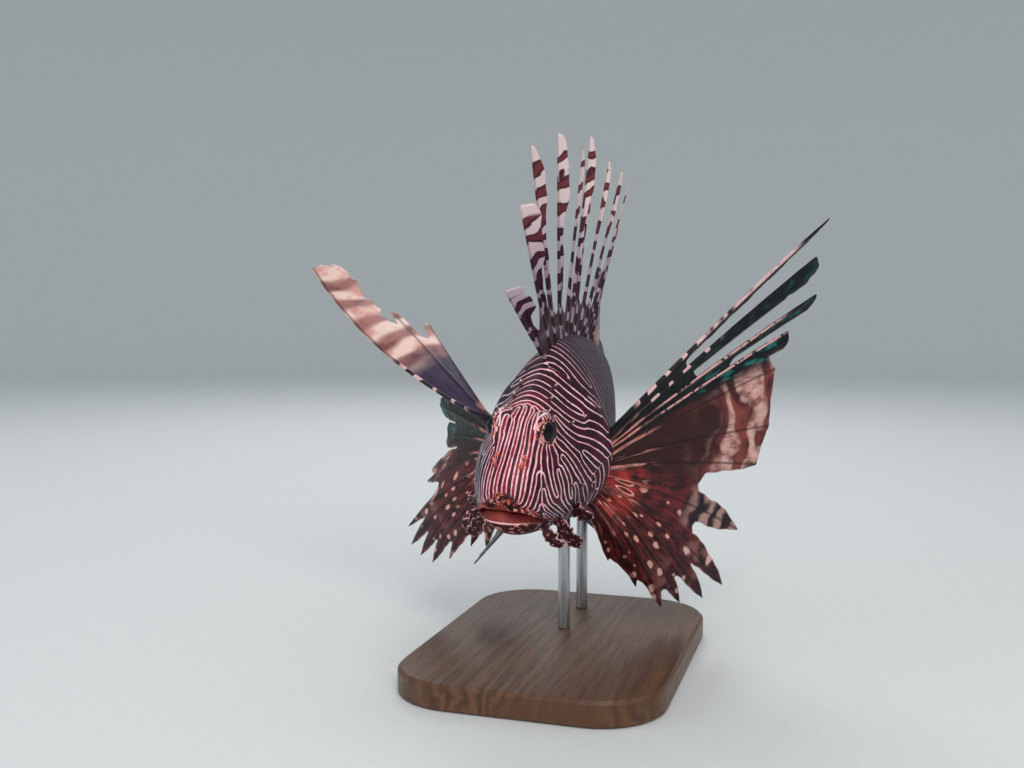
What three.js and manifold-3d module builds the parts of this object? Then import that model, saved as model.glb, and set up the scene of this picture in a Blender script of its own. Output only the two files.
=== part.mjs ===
// Red lionfish, life size, swimming towards the viewer with both pectoral fins spread, on a display stand.
// Millimetres. The fish is built in its own frame: +X is its left, +Y runs from snout to tail, +Z is up.
// The last section tilts it into its swimming pose over the stand, whose underside lies at Z = 0.

import * as THREE from 'three';
import { mergeVertices } from 'three/addons/utils/BufferGeometryUtils.js';
import Module from 'manifold-3d';

const wasm = await Module();
wasm.setup();

const rad = THREE.MathUtils.degToRad;
const lerp = THREE.MathUtils.lerp;
const clamp = THREE.MathUtils.clamp;
const vec = (x, y, z) => new THREE.Vector3(x, y, z);

// Driving sizes

const standardLength = 230;     // snout to the root of the tail fin
const gap = 0.3;                // clearance that touching pieces keep
const finSkin = 0.29;           // half the thickness of a fin membrane
const gillTop = 58;             // distance from snout to gill opening over the nape
const gillSweep = 18;           // how much further back the opening lies at the side
const stalkStart = 170;         // where the torso gives way to the tail stalk
const eyeRadius = 6;
const eyePlace = { x: 9.2, y: 27, z: 18.6 };
const eyeOutward = { x: 0.92, y: -0.35, z: 0.18 };
const orbitRadius = 7.3;        // the mound of flesh round the eye
const orbitStretch = 1.5;       // how much longer the mound is than wide, along the forehead
const foreheadSlope = 36;
const eyeOpening = 4.9;         // radius of the opening between the lids
const mouthCorner = { y: 18, z: -17.5 };
const upperLipFront = -7.2;     // height of the upper jaw's front edge
const lowerLipFront = -12.6;    // height of the lower jaw's front edge
const tailSwing = 13;           // the tail's root is swung this far to the fish's right
const swingStart = 110;         // where along the body the swing begins
const pitch = 11;               // the tail is carried this much higher than the snout, degrees
const bank = 4.4;               // the fish leans onto its left side, degrees
const base = { length: 170, width: 124, height: 12, corner: 30, bevel: 1.5 };
const baseClearance = 10;       // air between the lowest fin tip and the base
const rodRadius = 3;

// Body form: height of back and belly, half width, height of the widest line and pinch of the crown

const stations = [
  { s: 0, top: -5.5, bottom: -10.5, half: 3, mid: -8, crown: 2.2 },
  { s: 1.2, top: -3, bottom: -13.5, half: 6.5, mid: -8, crown: 2.2 },
  { s: 4, top: 2, bottom: -17, half: 9.5, mid: -8, crown: 2.1 },
  { s: 10, top: 9, bottom: -22, half: 13.2, mid: -8, crown: 2 },
  { s: 18, top: 17, bottom: -26, half: 17, mid: -9, crown: 2.1 },
  { s: 28, top: 25, bottom: -29, half: 21, mid: -9, crown: 2 },
  { s: 40, top: 31, bottom: -32, half: 24.5, mid: -8, crown: 1.58 },
  { s: 54, top: 37, bottom: -36, half: 27.5, mid: -6, crown: 1.4 },
  { s: 68, top: 43, bottom: -39, half: 29, mid: -4, crown: 1.45 },
  { s: 84, top: 45, bottom: -40, half: 28, mid: -3, crown: 1.45 },
  { s: 104, top: 43, bottom: -38, half: 25, mid: -2, crown: 1.5 },
  { s: 130, top: 37, bottom: -33, half: 20, mid: -1, crown: 1.6 },
  { s: 156, top: 28, bottom: -25, half: 15, mid: 0, crown: 1.8 },
  { s: 184, top: 17, bottom: -15, half: 9.5, mid: 0, crown: 2 },
  { s: 208, top: 12, bottom: -11, half: 6, mid: 0.5, crown: 2 },
  { s: standardLength, top: 12, bottom: -11, half: 3.5, mid: 0.5, crown: 2 },
];
const belly = 1.9;

// A smooth curve through the stations, for one of their sizes
function bodySize(key, s) {
  const last = stations.length - 1;
  const i = clamp(stations.findIndex((station) => station.s > s) - 1, 0, last - 1);
  const k = s >= stations[last].s ? last - 1 : i;
  const slope = (n) => {
    const a = stations[Math.max(n - 1, 0)];
    const b = stations[Math.min(n + 1, last)];
    return (b[key] - a[key]) / (b.s - a.s);
  };
  const from = stations[k];
  const to = stations[k + 1];
  const run = to.s - from.s;
  const t = clamp((s - from.s) / run, 0, 1);
  const t2 = t * t;
  const t3 = t2 * t;
  return (2 * t3 - 3 * t2 + 1) * from[key] + (t3 - 2 * t2 + t) * run * slope(k)
    + (3 * t2 - 2 * t3) * to[key] + (t3 - t2) * run * slope(k + 1);
}

const signedPower = (value, power) => Math.sign(value) * Math.abs(value) ** power;

// A point on the body at distance s from the snout and angle a round it, from the back over the left side
function bodyPoint(s, a, grow = 0) {
  const mid = bodySize('mid', s);
  const up = Math.cos(a) > 0;
  const height = up ? bodySize('top', s) - mid : mid - bodySize('bottom', s);
  const power = 2 / (up ? bodySize('crown', s) : belly);
  return vec(
    (bodySize('half', s) + grow) * signedPower(Math.sin(a), power),
    s,
    mid + (height + grow) * signedPower(Math.cos(a), power),
  );
}

// A point on the body's side at a given height
function flankPoint(s, z, side) {
  const mid = bodySize('mid', s);
  const up = z > mid;
  const height = up ? bodySize('top', s) - mid : mid - bodySize('bottom', s);
  const power = up ? bodySize('crown', s) : belly;
  const across = (1 - Math.min(Math.abs((z - mid) / height), 0.999) ** power) ** (1 / power);
  return vec(side * bodySize('half', s) * across, s, z);
}

function bodyNormal(s, a) {
  const along = bodyPoint(s + 0.5, a).sub(bodyPoint(s - 0.5, a));
  const round = bodyPoint(s, a + 0.02).sub(bodyPoint(s, a - 0.02));
  return round.cross(along).normalize();
}

const gillEdge = (a) => gillTop + gillSweep * Math.sin(a) ** 2 - 2 * (1 - Math.cos(a));

// Closed meshes and their joins

function meshFrom(points, triangles) {
  const geometry = new THREE.BufferGeometry();
  const flat = points.flatMap((p) => [p.x, p.y, p.z]);
  geometry.setAttribute('position', new THREE.Float32BufferAttribute(flat, 3));
  geometry.setIndex(triangles.flat());
  return geometry;
}

function toSolid(geometry) {
  const bare = geometry.clone();
  bare.deleteAttribute('normal');
  bare.deleteAttribute('uv');
  const merged = mergeVertices(bare, 1e-4);
  return new wasm.Manifold(new wasm.Mesh({
    numProp: 3,
    vertProperties: new Float32Array(merged.attributes.position.array),
    triVerts: new Uint32Array(merged.index.array),
  }));
}

function toGeometry(solid) {
  const pieces = solid.decompose();
  pieces.sort((a, b) => b.volume() - a.volume());
  const mesh = pieces[0].getMesh();
  const geometry = new THREE.BufferGeometry();
  geometry.setAttribute('position', new THREE.BufferAttribute(new Float32Array(mesh.vertProperties), 3));
  geometry.setIndex(new THREE.BufferAttribute(new Uint32Array(mesh.triVerts), 1));
  return geometry;
}

const join = (first, ...others) => others.reduce((whole, piece) => whole.add(piece), first);

// Rings of equal count joined into one closed form, each end closed by a fan to its own centre
function loft(rings, startCentre, endCentre) {
  const count = rings[0].length;
  const points = [...rings.flat(), startCentre, endCentre];
  const startIndex = rings.length * count;
  const triangles = [];
  for (let r = 0; r < rings.length - 1; r += 1) {
    for (let k = 0; k < count; k += 1) {
      const next = (k + 1) % count;
      const a = r * count + k;
      const b = r * count + next;
      triangles.push([a, b, b + count], [a, b + count, a + count]);
    }
  }
  for (let k = 0; k < count; k += 1) {
    const next = (k + 1) % count;
    const lastRing = (rings.length - 1) * count;
    triangles.push([startIndex, next, k], [startIndex + 1, lastRing + k, lastRing + next]);
  }
  return toSolid(meshFrom(points, triangles));
}

// A stretch of the body between two curves round it
function bodyStretch({ from, to, ringCount, sides, grow = 0, flare = () => 0, ease = 1 }) {
  const rings = [];
  for (let r = 0; r < ringCount; r += 1) {
    const u = (r / (ringCount - 1)) ** ease;
    const ring = [];
    for (let k = 0; k < sides; k += 1) {
      const a = (k / sides) * 2 * Math.PI;
      ring.push(bodyPoint(lerp(from(a), to(a), u), a, grow + flare(u, a)));
    }
    rings.push(ring);
  }
  const start = from(0);
  const end = to(0);
  return loft(rings, vec(0, start, bodySize('mid', start)), vec(0, end, bodySize('mid', end)));
}

// A tapering flattened rod along a path: spines, skin flaps, lips and nostril tubes
function sweep(path, size, sides = 6, flatten = 1, flatNormal = vec(0, 0, 1)) {
  const rings = path.map((p, i) => {
    const ahead = path[Math.min(i + 1, path.length - 1)].clone().sub(path[Math.max(i - 1, 0)]).normalize();
    const across = flatNormal.clone().cross(ahead).normalize();
    const thin = ahead.clone().cross(across);
    const radius = size(i / (path.length - 1));
    return Array.from({ length: sides }, (_, k) => {
      const a = (k / sides) * 2 * Math.PI;
      return p.clone()
        .addScaledVector(across, radius * Math.cos(a))
        .addScaledVector(thin, radius * flatten * Math.sin(a));
    });
  });
  return loft(rings, path[0].clone(), path[path.length - 1].clone());
}

// Head

const headSides = 36;
const headRings = 18;
const gillFlare = 1.8;

const gillRim = (u, a) => gillFlare * Math.sin(a) ** 2 * clamp((u - 0.84) / 0.16, 0, 1);

function mouthWedge() {
  const reach = 12;
  const upperSlope = (upperLipFront - mouthCorner.z) / mouthCorner.y;
  const lowerSlope = (lowerLipFront - mouthCorner.z) / mouthCorner.y;
  const outline = new THREE.Shape([
    new THREE.Vector2(mouthCorner.y, mouthCorner.z),
    new THREE.Vector2(-reach, upperLipFront + upperSlope * reach),
    new THREE.Vector2(-reach, lowerLipFront + lowerSlope * reach),
  ]);
  const width = 80;
  const prism = new THREE.ExtrudeGeometry(outline, { depth: width, bevelEnabled: false });
  prism.translate(0, 0, -width / 2);
  prism.applyMatrix4(new THREE.Matrix4().makeBasis(vec(0, 1, 0), vec(0, 0, 1), vec(1, 0, 0)));
  return toSolid(prism);
}

// A lip runs from one mouth corner round the snout to the other, on the head's own surface
function lip(frontHeight, shift, thickness) {
  const steps = 12;
  const path = Array.from({ length: steps + 1 }, (_, i) => {
    const k = (i / steps) * 2 - 1;
    const s = lerp(0.8, mouthCorner.y + 2, Math.sin((Math.abs(k) * Math.PI) / 2) ** 2);
    const z = lerp(frontHeight, mouthCorner.z, s / (mouthCorner.y + 2)) + shift;
    const place = flankPoint(s, z, Math.sign(k));
    return Math.abs(k) < 0.01 ? vec(0, 0.2, frontHeight + shift) : place;
  });
  const size = (t) => thickness * (0.55 + 0.45 * Math.sin(Math.PI * t));
  return sweep(path, size, 6);
}

function headSpine(s, degrees, side, length, radius, backward) {
  const a = rad(degrees) * side;
  const foot = bodyPoint(s, a, -1.5);
  const lean = bodyNormal(s, rad(degrees)).multiply(vec(side, 1, 1)).multiplyScalar(1 - backward);
  const tip = foot.clone().add(lean.add(vec(0, backward, 0)).normalize().multiplyScalar(length + 1.5));
  return sweep([foot, tip], (t) => radius * (1 - 0.82 * t), 5, 1, vec(0.31, 0.2, 0.93));
}

// Spines over the eye, on the crown, down the cheek and along the edge of the gill cover
const headSpines = [
  { s: 19, a: 26, length: 3, radius: 1.3 },
  { s: 26, a: 20, length: 3.5, radius: 1.4 },
  { s: 33, a: 24, length: 4.5, radius: 1.5 },
  { s: 41, a: 22, length: 5, radius: 1.6 },
  { s: 49, a: 21, length: 5.5, radius: 1.7 },
  { s: 44, a: 46, length: 4, radius: 1.4 },
  { s: 54, a: 50, length: 5, radius: 1.6 },
  { s: 30, a: 84, length: 3, radius: 1.4 },
  { s: 38, a: 89, length: 3.5, radius: 1.5 },
  { s: 46, a: 96, length: 4.5, radius: 1.6 },
  { s: 52, a: 108, length: 5, radius: 1.7 },
  { s: 50, a: 122, length: 4.5, radius: 1.6 },
  { s: 46, a: 134, length: 4, radius: 1.5 },
];

// Skin flaps that hang from the cheek and the corner of the jaw
const skinFlaps = [
  { s: 20, a: 124, length: 13, width: 5, out: 0.45, down: 0.88, back: 0 },
  { s: 29, a: 122, length: 17, width: 6.5, out: 0.5, down: 0.85, back: 0.1 },
  { s: 41, a: 114, length: 10, width: 5.5, out: 0.6, down: 0.78, back: 0.15 },
];

function skinFlap(flap, side) {
  const a = rad(flap.a) * side;
  const foot = bodyPoint(flap.s, a, -2);
  const lie = vec(side * flap.out, flap.back, -flap.down).normalize();
  const path = [0, 0.2, 0.4, 0.6, 0.8, 1].map((t) => foot.clone()
    .addScaledVector(lie, t * (flap.length + 2))
    .add(vec(0, 2.2 * Math.sin(Math.PI * t * 1.4), 0)));
  const lobes = [0.55, 0.75, 1, 0.72, 0.95, 0.35];
  const width = (t) => flap.width * 0.5 * lobes[Math.round(t * 5)];
  return sweep(path, width, 8, 0.3, vec(0, 1, 0.35).normalize());
}

function buildHead() {
  let head = bodyStretch({
    from: () => 0, to: gillEdge, ringCount: headRings, sides: headSides, flare: gillRim, ease: 1.35,
  });
  const nostrils = [];
  const extras = [lip(upperLipFront, 1.2, 2.2), lip(lowerLipFront, -1.4, 2.4)];
  for (const side of [1, -1]) {
    const mound = new THREE.SphereGeometry(orbitRadius, 16, 10);
    mound.scale(1, orbitStretch, 1);
    mound.rotateX(rad(foreheadSlope));
    mound.translate(side * eyePlace.x, eyePlace.y + 0.5, eyePlace.z);
    extras.push(toSolid(mound));
    const pit = new THREE.SphereGeometry(1.4, 8, 6);
    pit.translate(...bodyPoint(12.5, side * rad(28)).toArray());
    nostrils.push(toSolid(pit));
    const tubeFoot = bodyPoint(10.5, side * rad(25), -1);
    const tube = [vec(0, 0, 0), vec(side * 0.6, -1.2, 2), vec(side * 1.2, -1.4, 4.4)];
    extras.push(sweep(tube.map((p) => p.add(tubeFoot)), (t) => 1.5 - 0.8 * t, 6, 0.7, vec(0, 1, 0)));
    for (const spine of headSpines) {
      extras.push(headSpine(spine.s, spine.a, side, spine.length, spine.radius, 0.62));
    }
    for (const flap of skinFlaps) extras.push(skinFlap(flap, side));
  }
  head = head.subtract(mouthWedge());
  head = join(head, ...extras).subtract(join(nostrils[0], nostrils[1]));
  for (const side of [1, -1]) {
    const socket = new THREE.SphereGeometry(eyeRadius + gap + 0.1, 16, 10);
    socket.translate(side * eyePlace.x, eyePlace.y, eyePlace.z);
    const outward = vec(side * eyeOutward.x, eyeOutward.y, eyeOutward.z).normalize();
    const opening = new THREE.CylinderGeometry(eyeOpening + 1.2, eyeOpening, orbitRadius, 16);
    opening.translate(0, orbitRadius / 2 + 2.5, 0);
    opening.applyQuaternion(new THREE.Quaternion().setFromUnitVectors(vec(0, 1, 0), outward));
    opening.translate(side * eyePlace.x, eyePlace.y, eyePlace.z);
    head = head.subtract(toSolid(socket)).subtract(toSolid(opening));
  }
  return head;
}

function buildEye(side) {
  const eye = new THREE.SphereGeometry(eyeRadius, 18, 11);
  eye.translate(side * eyePlace.x, eyePlace.y, eyePlace.z);
  return eye;
}

// Torso and tail stalk

const faceGap = 0.5;            // gap measured along the body, where faces meet at a slant
const torsoSides = 32;

const torso = bodyStretch({
  from: (a) => gillEdge(a) + faceGap, to: () => stalkStart - gap / 2, ringCount: 11, sides: torsoSides,
});
const tailStalk = bodyStretch({
  from: () => stalkStart + gap / 2, to: () => standardLength - 2, ringCount: 6, sides: torsoSides,
});

// What the fins' roots are cut back by, so that they meet the skin with a gap all round
const bodyCutter = bodyStretch({
  from: () => 20, to: () => standardLength - 2 + gap, ringCount: 40, sides: 48, grow: gap + 0.12,
});
const gillCutter = bodyStretch({
  from: () => 20, to: (a) => gillEdge(a) + gap, ringCount: 24, sides: 48, grow: gap + 0.15, flare: gillRim,
});

// Fins: rays as ridges in one membrane, free beyond the web between them

// The ray's own line: a length, a direction and a bend, from its foot
function rayLine(foot, direction, length, bend, rows) {
  return Array.from({ length: rows + 1 }, (_, j) => {
    const t = j / rows;
    return foot.clone().addScaledVector(direction, length * t).addScaledVector(bend, length * t * (1 - t));
  });
}

// Each ray has a line, vanes before and behind it, a web height as a part of its length, and a ridge
function finSurface(rays, rows) {
  const columns = [];
  rays.forEach((ray, i) => {
    const before = rays[i - 1];
    const after = rays[i + 1];
    const front = [];
    const rear = [];
    ray.line.forEach((centre, j) => {
      const t = j / rows;
      const tangent = ray.line[Math.min(j + 1, rows)].clone().sub(ray.line[Math.max(j - 1, 0)]).normalize();
      const toFront = before ? before.line[j].clone().sub(centre) : centre.clone().sub(after.line[j]);
      const toRear = after ? after.line[j].clone().sub(centre) : centre.clone().sub(before.line[j]);
      const place = (towards, width, limit) => {
        const reach = Math.min(width, limit);
        const flat = towards.clone().addScaledVector(tangent, -towards.dot(tangent)).normalize();
        const turned = THREE.MathUtils.smoothstep(t, ray.web * 0.8, ray.web + 0.3);
        flat.applyAxisAngle(tangent, ray.twist * turned);
        return centre.clone().addScaledVector(flat, reach);
      };
      front.push(place(toFront, ray.front(t), before ? toFront.length() * 0.42 : 99));
      rear.push(place(toRear, ray.rear(t), after ? toRear.length() * 0.42 : 99));
    });
    const ridge = ray.line.map((_, j) => ray.ridge(j / rows));
    const skin = ray.line.map((_, j) => ray.skin(j / rows));
    columns.push(
      { points: front, half: skin },
      { points: ray.line, half: ridge },
      { points: rear, half: skin, webRows: Math.round(ray.web * rows) },
    );
  });
  return columns;
}

// Both faces of the membrane and its edges, closed into one thin solid
function thicken(columns, rows) {
  const stride = rows + 1;
  const middle = columns.flatMap((column) => column.points);
  const half = columns.flatMap((column) => column.half);
  const quads = [];
  for (let c = 0; c < columns.length - 1; c += 1) {
    const isWeb = c % 3 === 2;
    const top = isWeb ? Math.max(columns[c].webRows, 1) : rows;
    for (let j = 0; j < top; j += 1) {
      quads.push([c * stride + j, c * stride + j + 1, (c + 1) * stride + j + 1, (c + 1) * stride + j]);
    }
  }
  const normals = middle.map(() => vec(0, 0, 0));
  const faces = quads.flatMap(([a, b, c, d]) => [[a, b, c], [a, c, d]]);
  for (const face of faces) {
    const [p, q, r] = face.map((index) => middle[index]);
    const normal = q.clone().sub(p).cross(r.clone().sub(p));
    for (const index of face) normals[index].add(normal);
  }
  normals.forEach((normal) => normal.normalize());
  const count = middle.length;
  const points = [
    ...middle.map((p, i) => p.clone().addScaledVector(normals[i], half[i])),
    ...middle.map((p, i) => p.clone().addScaledVector(normals[i], -half[i])),
  ];
  const triangles = [];
  const edges = new Map();
  for (const [a, b, c] of faces) {
    triangles.push([a, b, c], [a + count, c + count, b + count]);
    for (const [from, to] of [[a, b], [b, c], [c, a]]) {
      const twin = `${to}_${from}`;
      if (edges.has(twin)) edges.delete(twin);
      else edges.set(`${from}_${to}`, [from, to]);
    }
  }
  for (const [from, to] of edges.values()) {
    triangles.push([from, from + count, to + count], [from, to + count, to]);
  }
  return toSolid(meshFrom(points, triangles));
}

const buildFin = (rays, rows) => thicken(finSurface(rays, rows), rows)
  .subtract(bodyCutter)
  .subtract(gillCutter);

// A vane's width along its ray: widest at the peak, then drawn in to a blunt or a pointed end
const leaf = (width, peak = 0.6, end = 0) => (t) => {
  const rise = lerp(0.45, 1, Math.sin((Math.min(t / peak, 1) * Math.PI) / 2));
  const fall = t < peak ? 1 : lerp(end, 1, Math.cos((((t - peak) / (1 - peak)) * Math.PI) / 2) ** 0.7);
  return Math.max(width * rise * fall, 0.22);
};
const taper = (from, to) => (t) => lerp(from, to, t);
const membrane = () => finSkin;

// Pectoral fins: fourteen rays each, from the shoulder fan below the gill cover's edge

const pectoralRows = 9;
const pectoralFoot = { upperAngle: 80, lowerAngle: 138, upperS: 79, lowerS: 72, sunk: 3 };

// Length, elevation from the horizontal and backward sweep in degrees, web height, front and rear vane, bow
const leftPectoral = [
  { length: 174, up: 46.3, back: 42, web: 0.36, front: 0.9, rear: 4 },
  { length: 163, up: 41.8, back: 46, web: 0.4, front: 0.8, rear: 6 },
  { length: 157, up: 33.6, back: 49, web: 0.45, front: 0.8, rear: 7 },
  { length: 132, up: 29.7, back: 50, web: 0.7, front: 0.8, rear: 7 },
  { length: 116, up: 21.3, back: 50, web: 1, front: 3, rear: 9 },
  { length: 108, up: 0.5, back: 50, web: 1, front: 9, rear: 9 },
  { length: 99, up: -13, back: 47, web: 0.68, front: 9, rear: 4 },
  { length: 99, up: -37.2, back: 40, web: 0.7, front: 6, rear: 5 },
  { length: 108, up: -52.2, back: 32, web: 0.78, front: 6, rear: 4 },
  { length: 102, up: -57.2, back: 29, web: 0.82, front: 5, rear: 4 },
  { length: 93, up: -62.1, back: 27, web: 0.9, front: 4.5, rear: 4 },
  { length: 87, up: -66.3, back: 25, web: 0.9, front: 4, rear: 4 },
  { length: 67, up: -69.5, back: 25, web: 0.94, front: 4, rear: 4 },
  { length: 47, up: -77, back: 29, web: 0.9, front: 4, rear: 3 },
];
const bladeBow = vec(0.125, -0.085, -0.159);
const rightPectoral = [
  { length: 173, up: 21.1, back: 29, web: 0.4, front: 0.9, rear: 17, peak: 0.8, end: 0.9, bow: bladeBow },
  { length: 120, up: 22.7, back: 38, web: 0.72, front: 3, rear: 3 },
  { length: 101, up: 28.4, back: 44, web: 0.5, front: 2.5, rear: 4.5, peak: 0.93, end: 0.6 },
  { length: 88, up: -8, back: 50, web: 0.8, front: 7, rear: 8, end: 0.5 },
  { length: 86, up: -22.9, back: 50, web: 0.7, front: 8, rear: 8, end: 0.5 },
  { length: 96, up: -33.4, back: 42, web: 0.94, front: 7, rear: 6 },
  { length: 92, up: -34.4, back: 38, web: 0.76, front: 5, rear: 6 },
  { length: 106, up: -42.7, back: 28, web: 0.8, front: 4, rear: 3.6 },
  { length: 108, up: -46.5, back: 26, web: 0.82, front: 3.6, rear: 3.6 },
  { length: 104, up: -49.8, back: 25, web: 0.82, front: 3.6, rear: 3.6 },
  { length: 96, up: -53, back: 24, web: 0.82, front: 3.6, rear: 3.6 },
  { length: 77, up: -55.7, back: 22, web: 0.82, front: 3.6, rear: 3.6 },
  { length: 53, up: -58.8, back: 20, web: 0.82, front: 3.4, rear: 3.4 },
  { length: 46, up: -64.5, back: 21, web: 0.8, front: 3, rear: 3 },
];
const upperBow = vec(0, -0.05, 0.06);
const lowerBow = vec(0.2, -0.02, 0.14);

function pectoralRay(side, ray, i, all) {
  const k = i / (all.length - 1);
  const a = rad(lerp(pectoralFoot.upperAngle, pectoralFoot.lowerAngle, k)) * side;
  const foot = bodyPoint(lerp(pectoralFoot.upperS, pectoralFoot.lowerS, k), a, -pectoralFoot.sunk);
  const up = rad(ray.up);
  const back = rad(ray.back);
  const direction = vec(side * Math.cos(back) * Math.cos(up), Math.sin(back), Math.cos(back) * Math.sin(up));
  const bend = (ray.bow ?? upperBow.clone().lerp(lowerBow, k)).clone().multiply(vec(side, 1, 1));
  return {
    line: rayLine(foot, direction, ray.length, bend, pectoralRows),
    front: leaf(ray.front, ray.peak, ray.end),
    rear: leaf(ray.rear, ray.peak, ray.end),
    web: ray.web,
    twist: 0,
    ridge: (t) => 0.4 + 1.5 * (1 - t) ** 3 + 0.25 * (1 - t),
    skin: (t) => finSkin + 1.3 * Math.max(0, 1 - t * 6),
  };
}

const buildPectoral = (side, table) => buildFin(
  table.map((ray, i) => pectoralRay(side, ray, i, table)),
  pectoralRows,
);

// Spiny dorsal fin: thirteen spines with a low web, each carrying its own vane

const dorsalRows = 8;
const dorsalStart = 66;
const dorsalStep = 7.9;

// Length, backward lean and leftward lean in degrees, vane width and end, turn of the vane to face forwards
const dorsalSpines = [
  { length: 56, back: -48, left: -6, vane: 9.5, end: 0.85, turn: 60 },
  { length: 78, back: -29, left: -3, vane: 9.5, end: 0.85, turn: 60 },
  { length: 100, back: -24, left: -1, vane: 5.5, turn: 60 },
  { length: 97, back: -12, left: 1, vane: 6, turn: 60 },
  { length: 90, back: 16, left: 0, vane: 3.5, turn: 20 },
  { length: 99, back: 20.5, left: 0, vane: 5.5, turn: 45 },
  { length: 93, back: 26, left: -1, vane: 3.5, turn: 10 },
  { length: 97, back: 32, left: 3, vane: 3.5, turn: 0 },
  { length: 93, back: 31, left: 7, vane: 3.5, turn: 0 },
  { length: 89, back: 30, left: 10, vane: 3.5, turn: 0 },
  { length: 70, back: 34, left: 9, vane: 3.5, turn: 0 },
  { length: 58, back: 38, left: 7, vane: 3.5, turn: 0 },
  { length: 48, back: 38, left: 5, vane: 3.5, turn: 0 },
];

function leanDirection(backDegrees, leftDegrees) {
  const back = rad(backDegrees);
  const left = rad(leftDegrees);
  return vec(Math.sin(left), Math.cos(left) * Math.sin(back), Math.cos(left) * Math.cos(back));
}

function buildSpinyDorsal() {
  const sunk = 3.5;
  const bow = vec(0, -0.04, 0);
  const rays = dorsalSpines.map((spine, i) => {
    const s = dorsalStart + dorsalStep * i;
    const foot = vec(0, s, bodySize('top', s) - sunk);
    return {
      line: rayLine(foot, leanDirection(spine.back, spine.left), spine.length + sunk, bow, dorsalRows),
      front: taper(1.3, 0.25),
      rear: leaf(spine.vane, 0.75, spine.end),
      web: 0.15,
      twist: rad(-spine.turn),
      ridge: (t) => lerp(1.3, 0.3, t),
      skin: membrane,
    };
  });
  return buildFin(rays, dorsalRows);
}

// Soft-rayed fins along the back, belly and tail

function softFin({ rows, count, foot, direction, length, web, spread, bend = vec(0, 0, 0) }) {
  const rays = Array.from({ length: count }, (_, i) => {
    const k = i / (count - 1);
    return {
      line: rayLine(foot(k), direction(k).normalize(), length(k), bend, rows),
      front: leaf(spread, 0.9, 0.6),
      rear: leaf(spread, 0.9, 0.6),
      web: web(k),
      twist: 0,
      ridge: (t) => lerp(0.9, 0.35, t),
      skin: membrane,
    };
  });
  return buildFin(rays, rows);
}

const softDorsal = softFin({
  rows: 5,
  count: 11,
  foot: (k) => vec(0, lerp(172, 205, k), bodySize('top', lerp(172, 205, k)) - 3),
  direction: (k) => vec(0, lerp(0.75, 1.6, k), lerp(1.1, 0.62, k)),
  length: (k) => 48 + 14 * Math.sin(Math.PI * clamp(k * 1.15, 0, 1)) - 8 * k,
  web: () => 0.95,
  spread: 2.4,
});

const analFin = softFin({
  rows: 5,
  count: 10,
  foot: (k) => vec(0, lerp(172, 203, k), bodySize('bottom', lerp(172, 203, k)) + 3),
  direction: (k) => vec(0, lerp(0.5, 1.5, k), lerp(-1.1, -0.7, k)),
  length: (k) => lerp(20, 54, Math.min(k * 3, 1) ** 0.8) - 10 * k * k,
  web: (k) => (k < 0.25 ? 0.7 : 0.95),
  spread: 2.4,
});

const tailFin = softFin({
  rows: 6,
  count: 13,
  foot: (k) => vec(0, standardLength - 6, lerp(9.5, -8.5, k)),
  direction: (k) => vec(0, 1, Math.tan(rad(lerp(27, -27, k)))),
  length: (k) => 66 + 14 * Math.sin(Math.PI * k) + 2,
  web: () => 0.95,
  spread: 2.6,
});

// Pelvic fins: one spine and five rays from the belly behind the shoulder

function pelvicFin(side, lead, trail) {
  return softFin({
    rows: 6,
    count: 6,
    foot: (k) => bodyPoint(lerp(78, 88, k), side * rad(lerp(158, 164, k)), -3),
    direction: (k) => lead.clone().lerp(trail, k),
    length: (k) => 62 + 20 * Math.sin(Math.PI * lerp(0.2, 0.8, k)),
    web: () => 0.86,
    spread: 2.2,
    bend: vec(side * 0.05, 0, -0.05),
  });
}

const pelvicRight = pelvicFin(-1, vec(-0.54, 0.43, -0.72), vec(-0.42, 0.84, -0.46));
const pelvicLeft = pelvicFin(1, vec(0.3, 0.72, -0.62), vec(0.16, 0.93, -0.33));

// Colours and the named pieces of the fish

const maroon = { color: 0x5a1f30, roughness: 0.45, metalness: 0 };
const finPaint = { color: 0x8c4a46, roughness: 0.5, metalness: 0 };
const eyeGloss = { color: 0x17090c, roughness: 0.12, metalness: 0 };
const walnut = { color: 0x4f3524, roughness: 0.5, metalness: 0 };
const steel = { color: 0xb9bcc0, roughness: 0.3, metalness: 1 };

// The rear of the body and its fins swing to the right in one smooth curve
const swingAt = (y) => -tailSwing * (Math.max(0, y - swingStart) / (standardLength - swingStart)) ** 2;

function swung(geometry) {
  const place = geometry.attributes.position;
  for (let i = 0; i < place.count; i += 1) place.setX(i, place.getX(i) + swingAt(place.getY(i)));
  return geometry;
}

function piece(name, geometry, paint) {
  const mesh = new THREE.Mesh(geometry, new THREE.MeshStandardMaterial(paint));
  mesh.name = name;
  return mesh;
}

const fish = new THREE.Group();
fish.add(
  piece('head', toGeometry(buildHead()), maroon),
  piece('torso', swung(toGeometry(torso)), maroon),
  piece('tail_stalk', swung(toGeometry(tailStalk)), maroon),
  piece('spiny_dorsal_fin', swung(toGeometry(buildSpinyDorsal())), finPaint),
  piece('soft_dorsal_fin', swung(toGeometry(softDorsal)), finPaint),
  piece('anal_fin', swung(toGeometry(analFin)), finPaint),
  piece('caudal_fin', swung(toGeometry(tailFin)), finPaint),
  piece('pectoral_fin_left', toGeometry(buildPectoral(1, leftPectoral)), finPaint),
  piece('pectoral_fin_right', toGeometry(buildPectoral(-1, rightPectoral)), finPaint),
  piece('pelvic_fin_left', swung(toGeometry(pelvicLeft)), finPaint),
  piece('pelvic_fin_right', swung(toGeometry(pelvicRight)), finPaint),
  piece('eye_left', buildEye(1), eyeGloss),
  piece('eye_right', buildEye(-1), eyeGloss),
);

// Pose over the stand: leaned and pitched about the middle of the body, lowest fin tip just over the base

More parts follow.
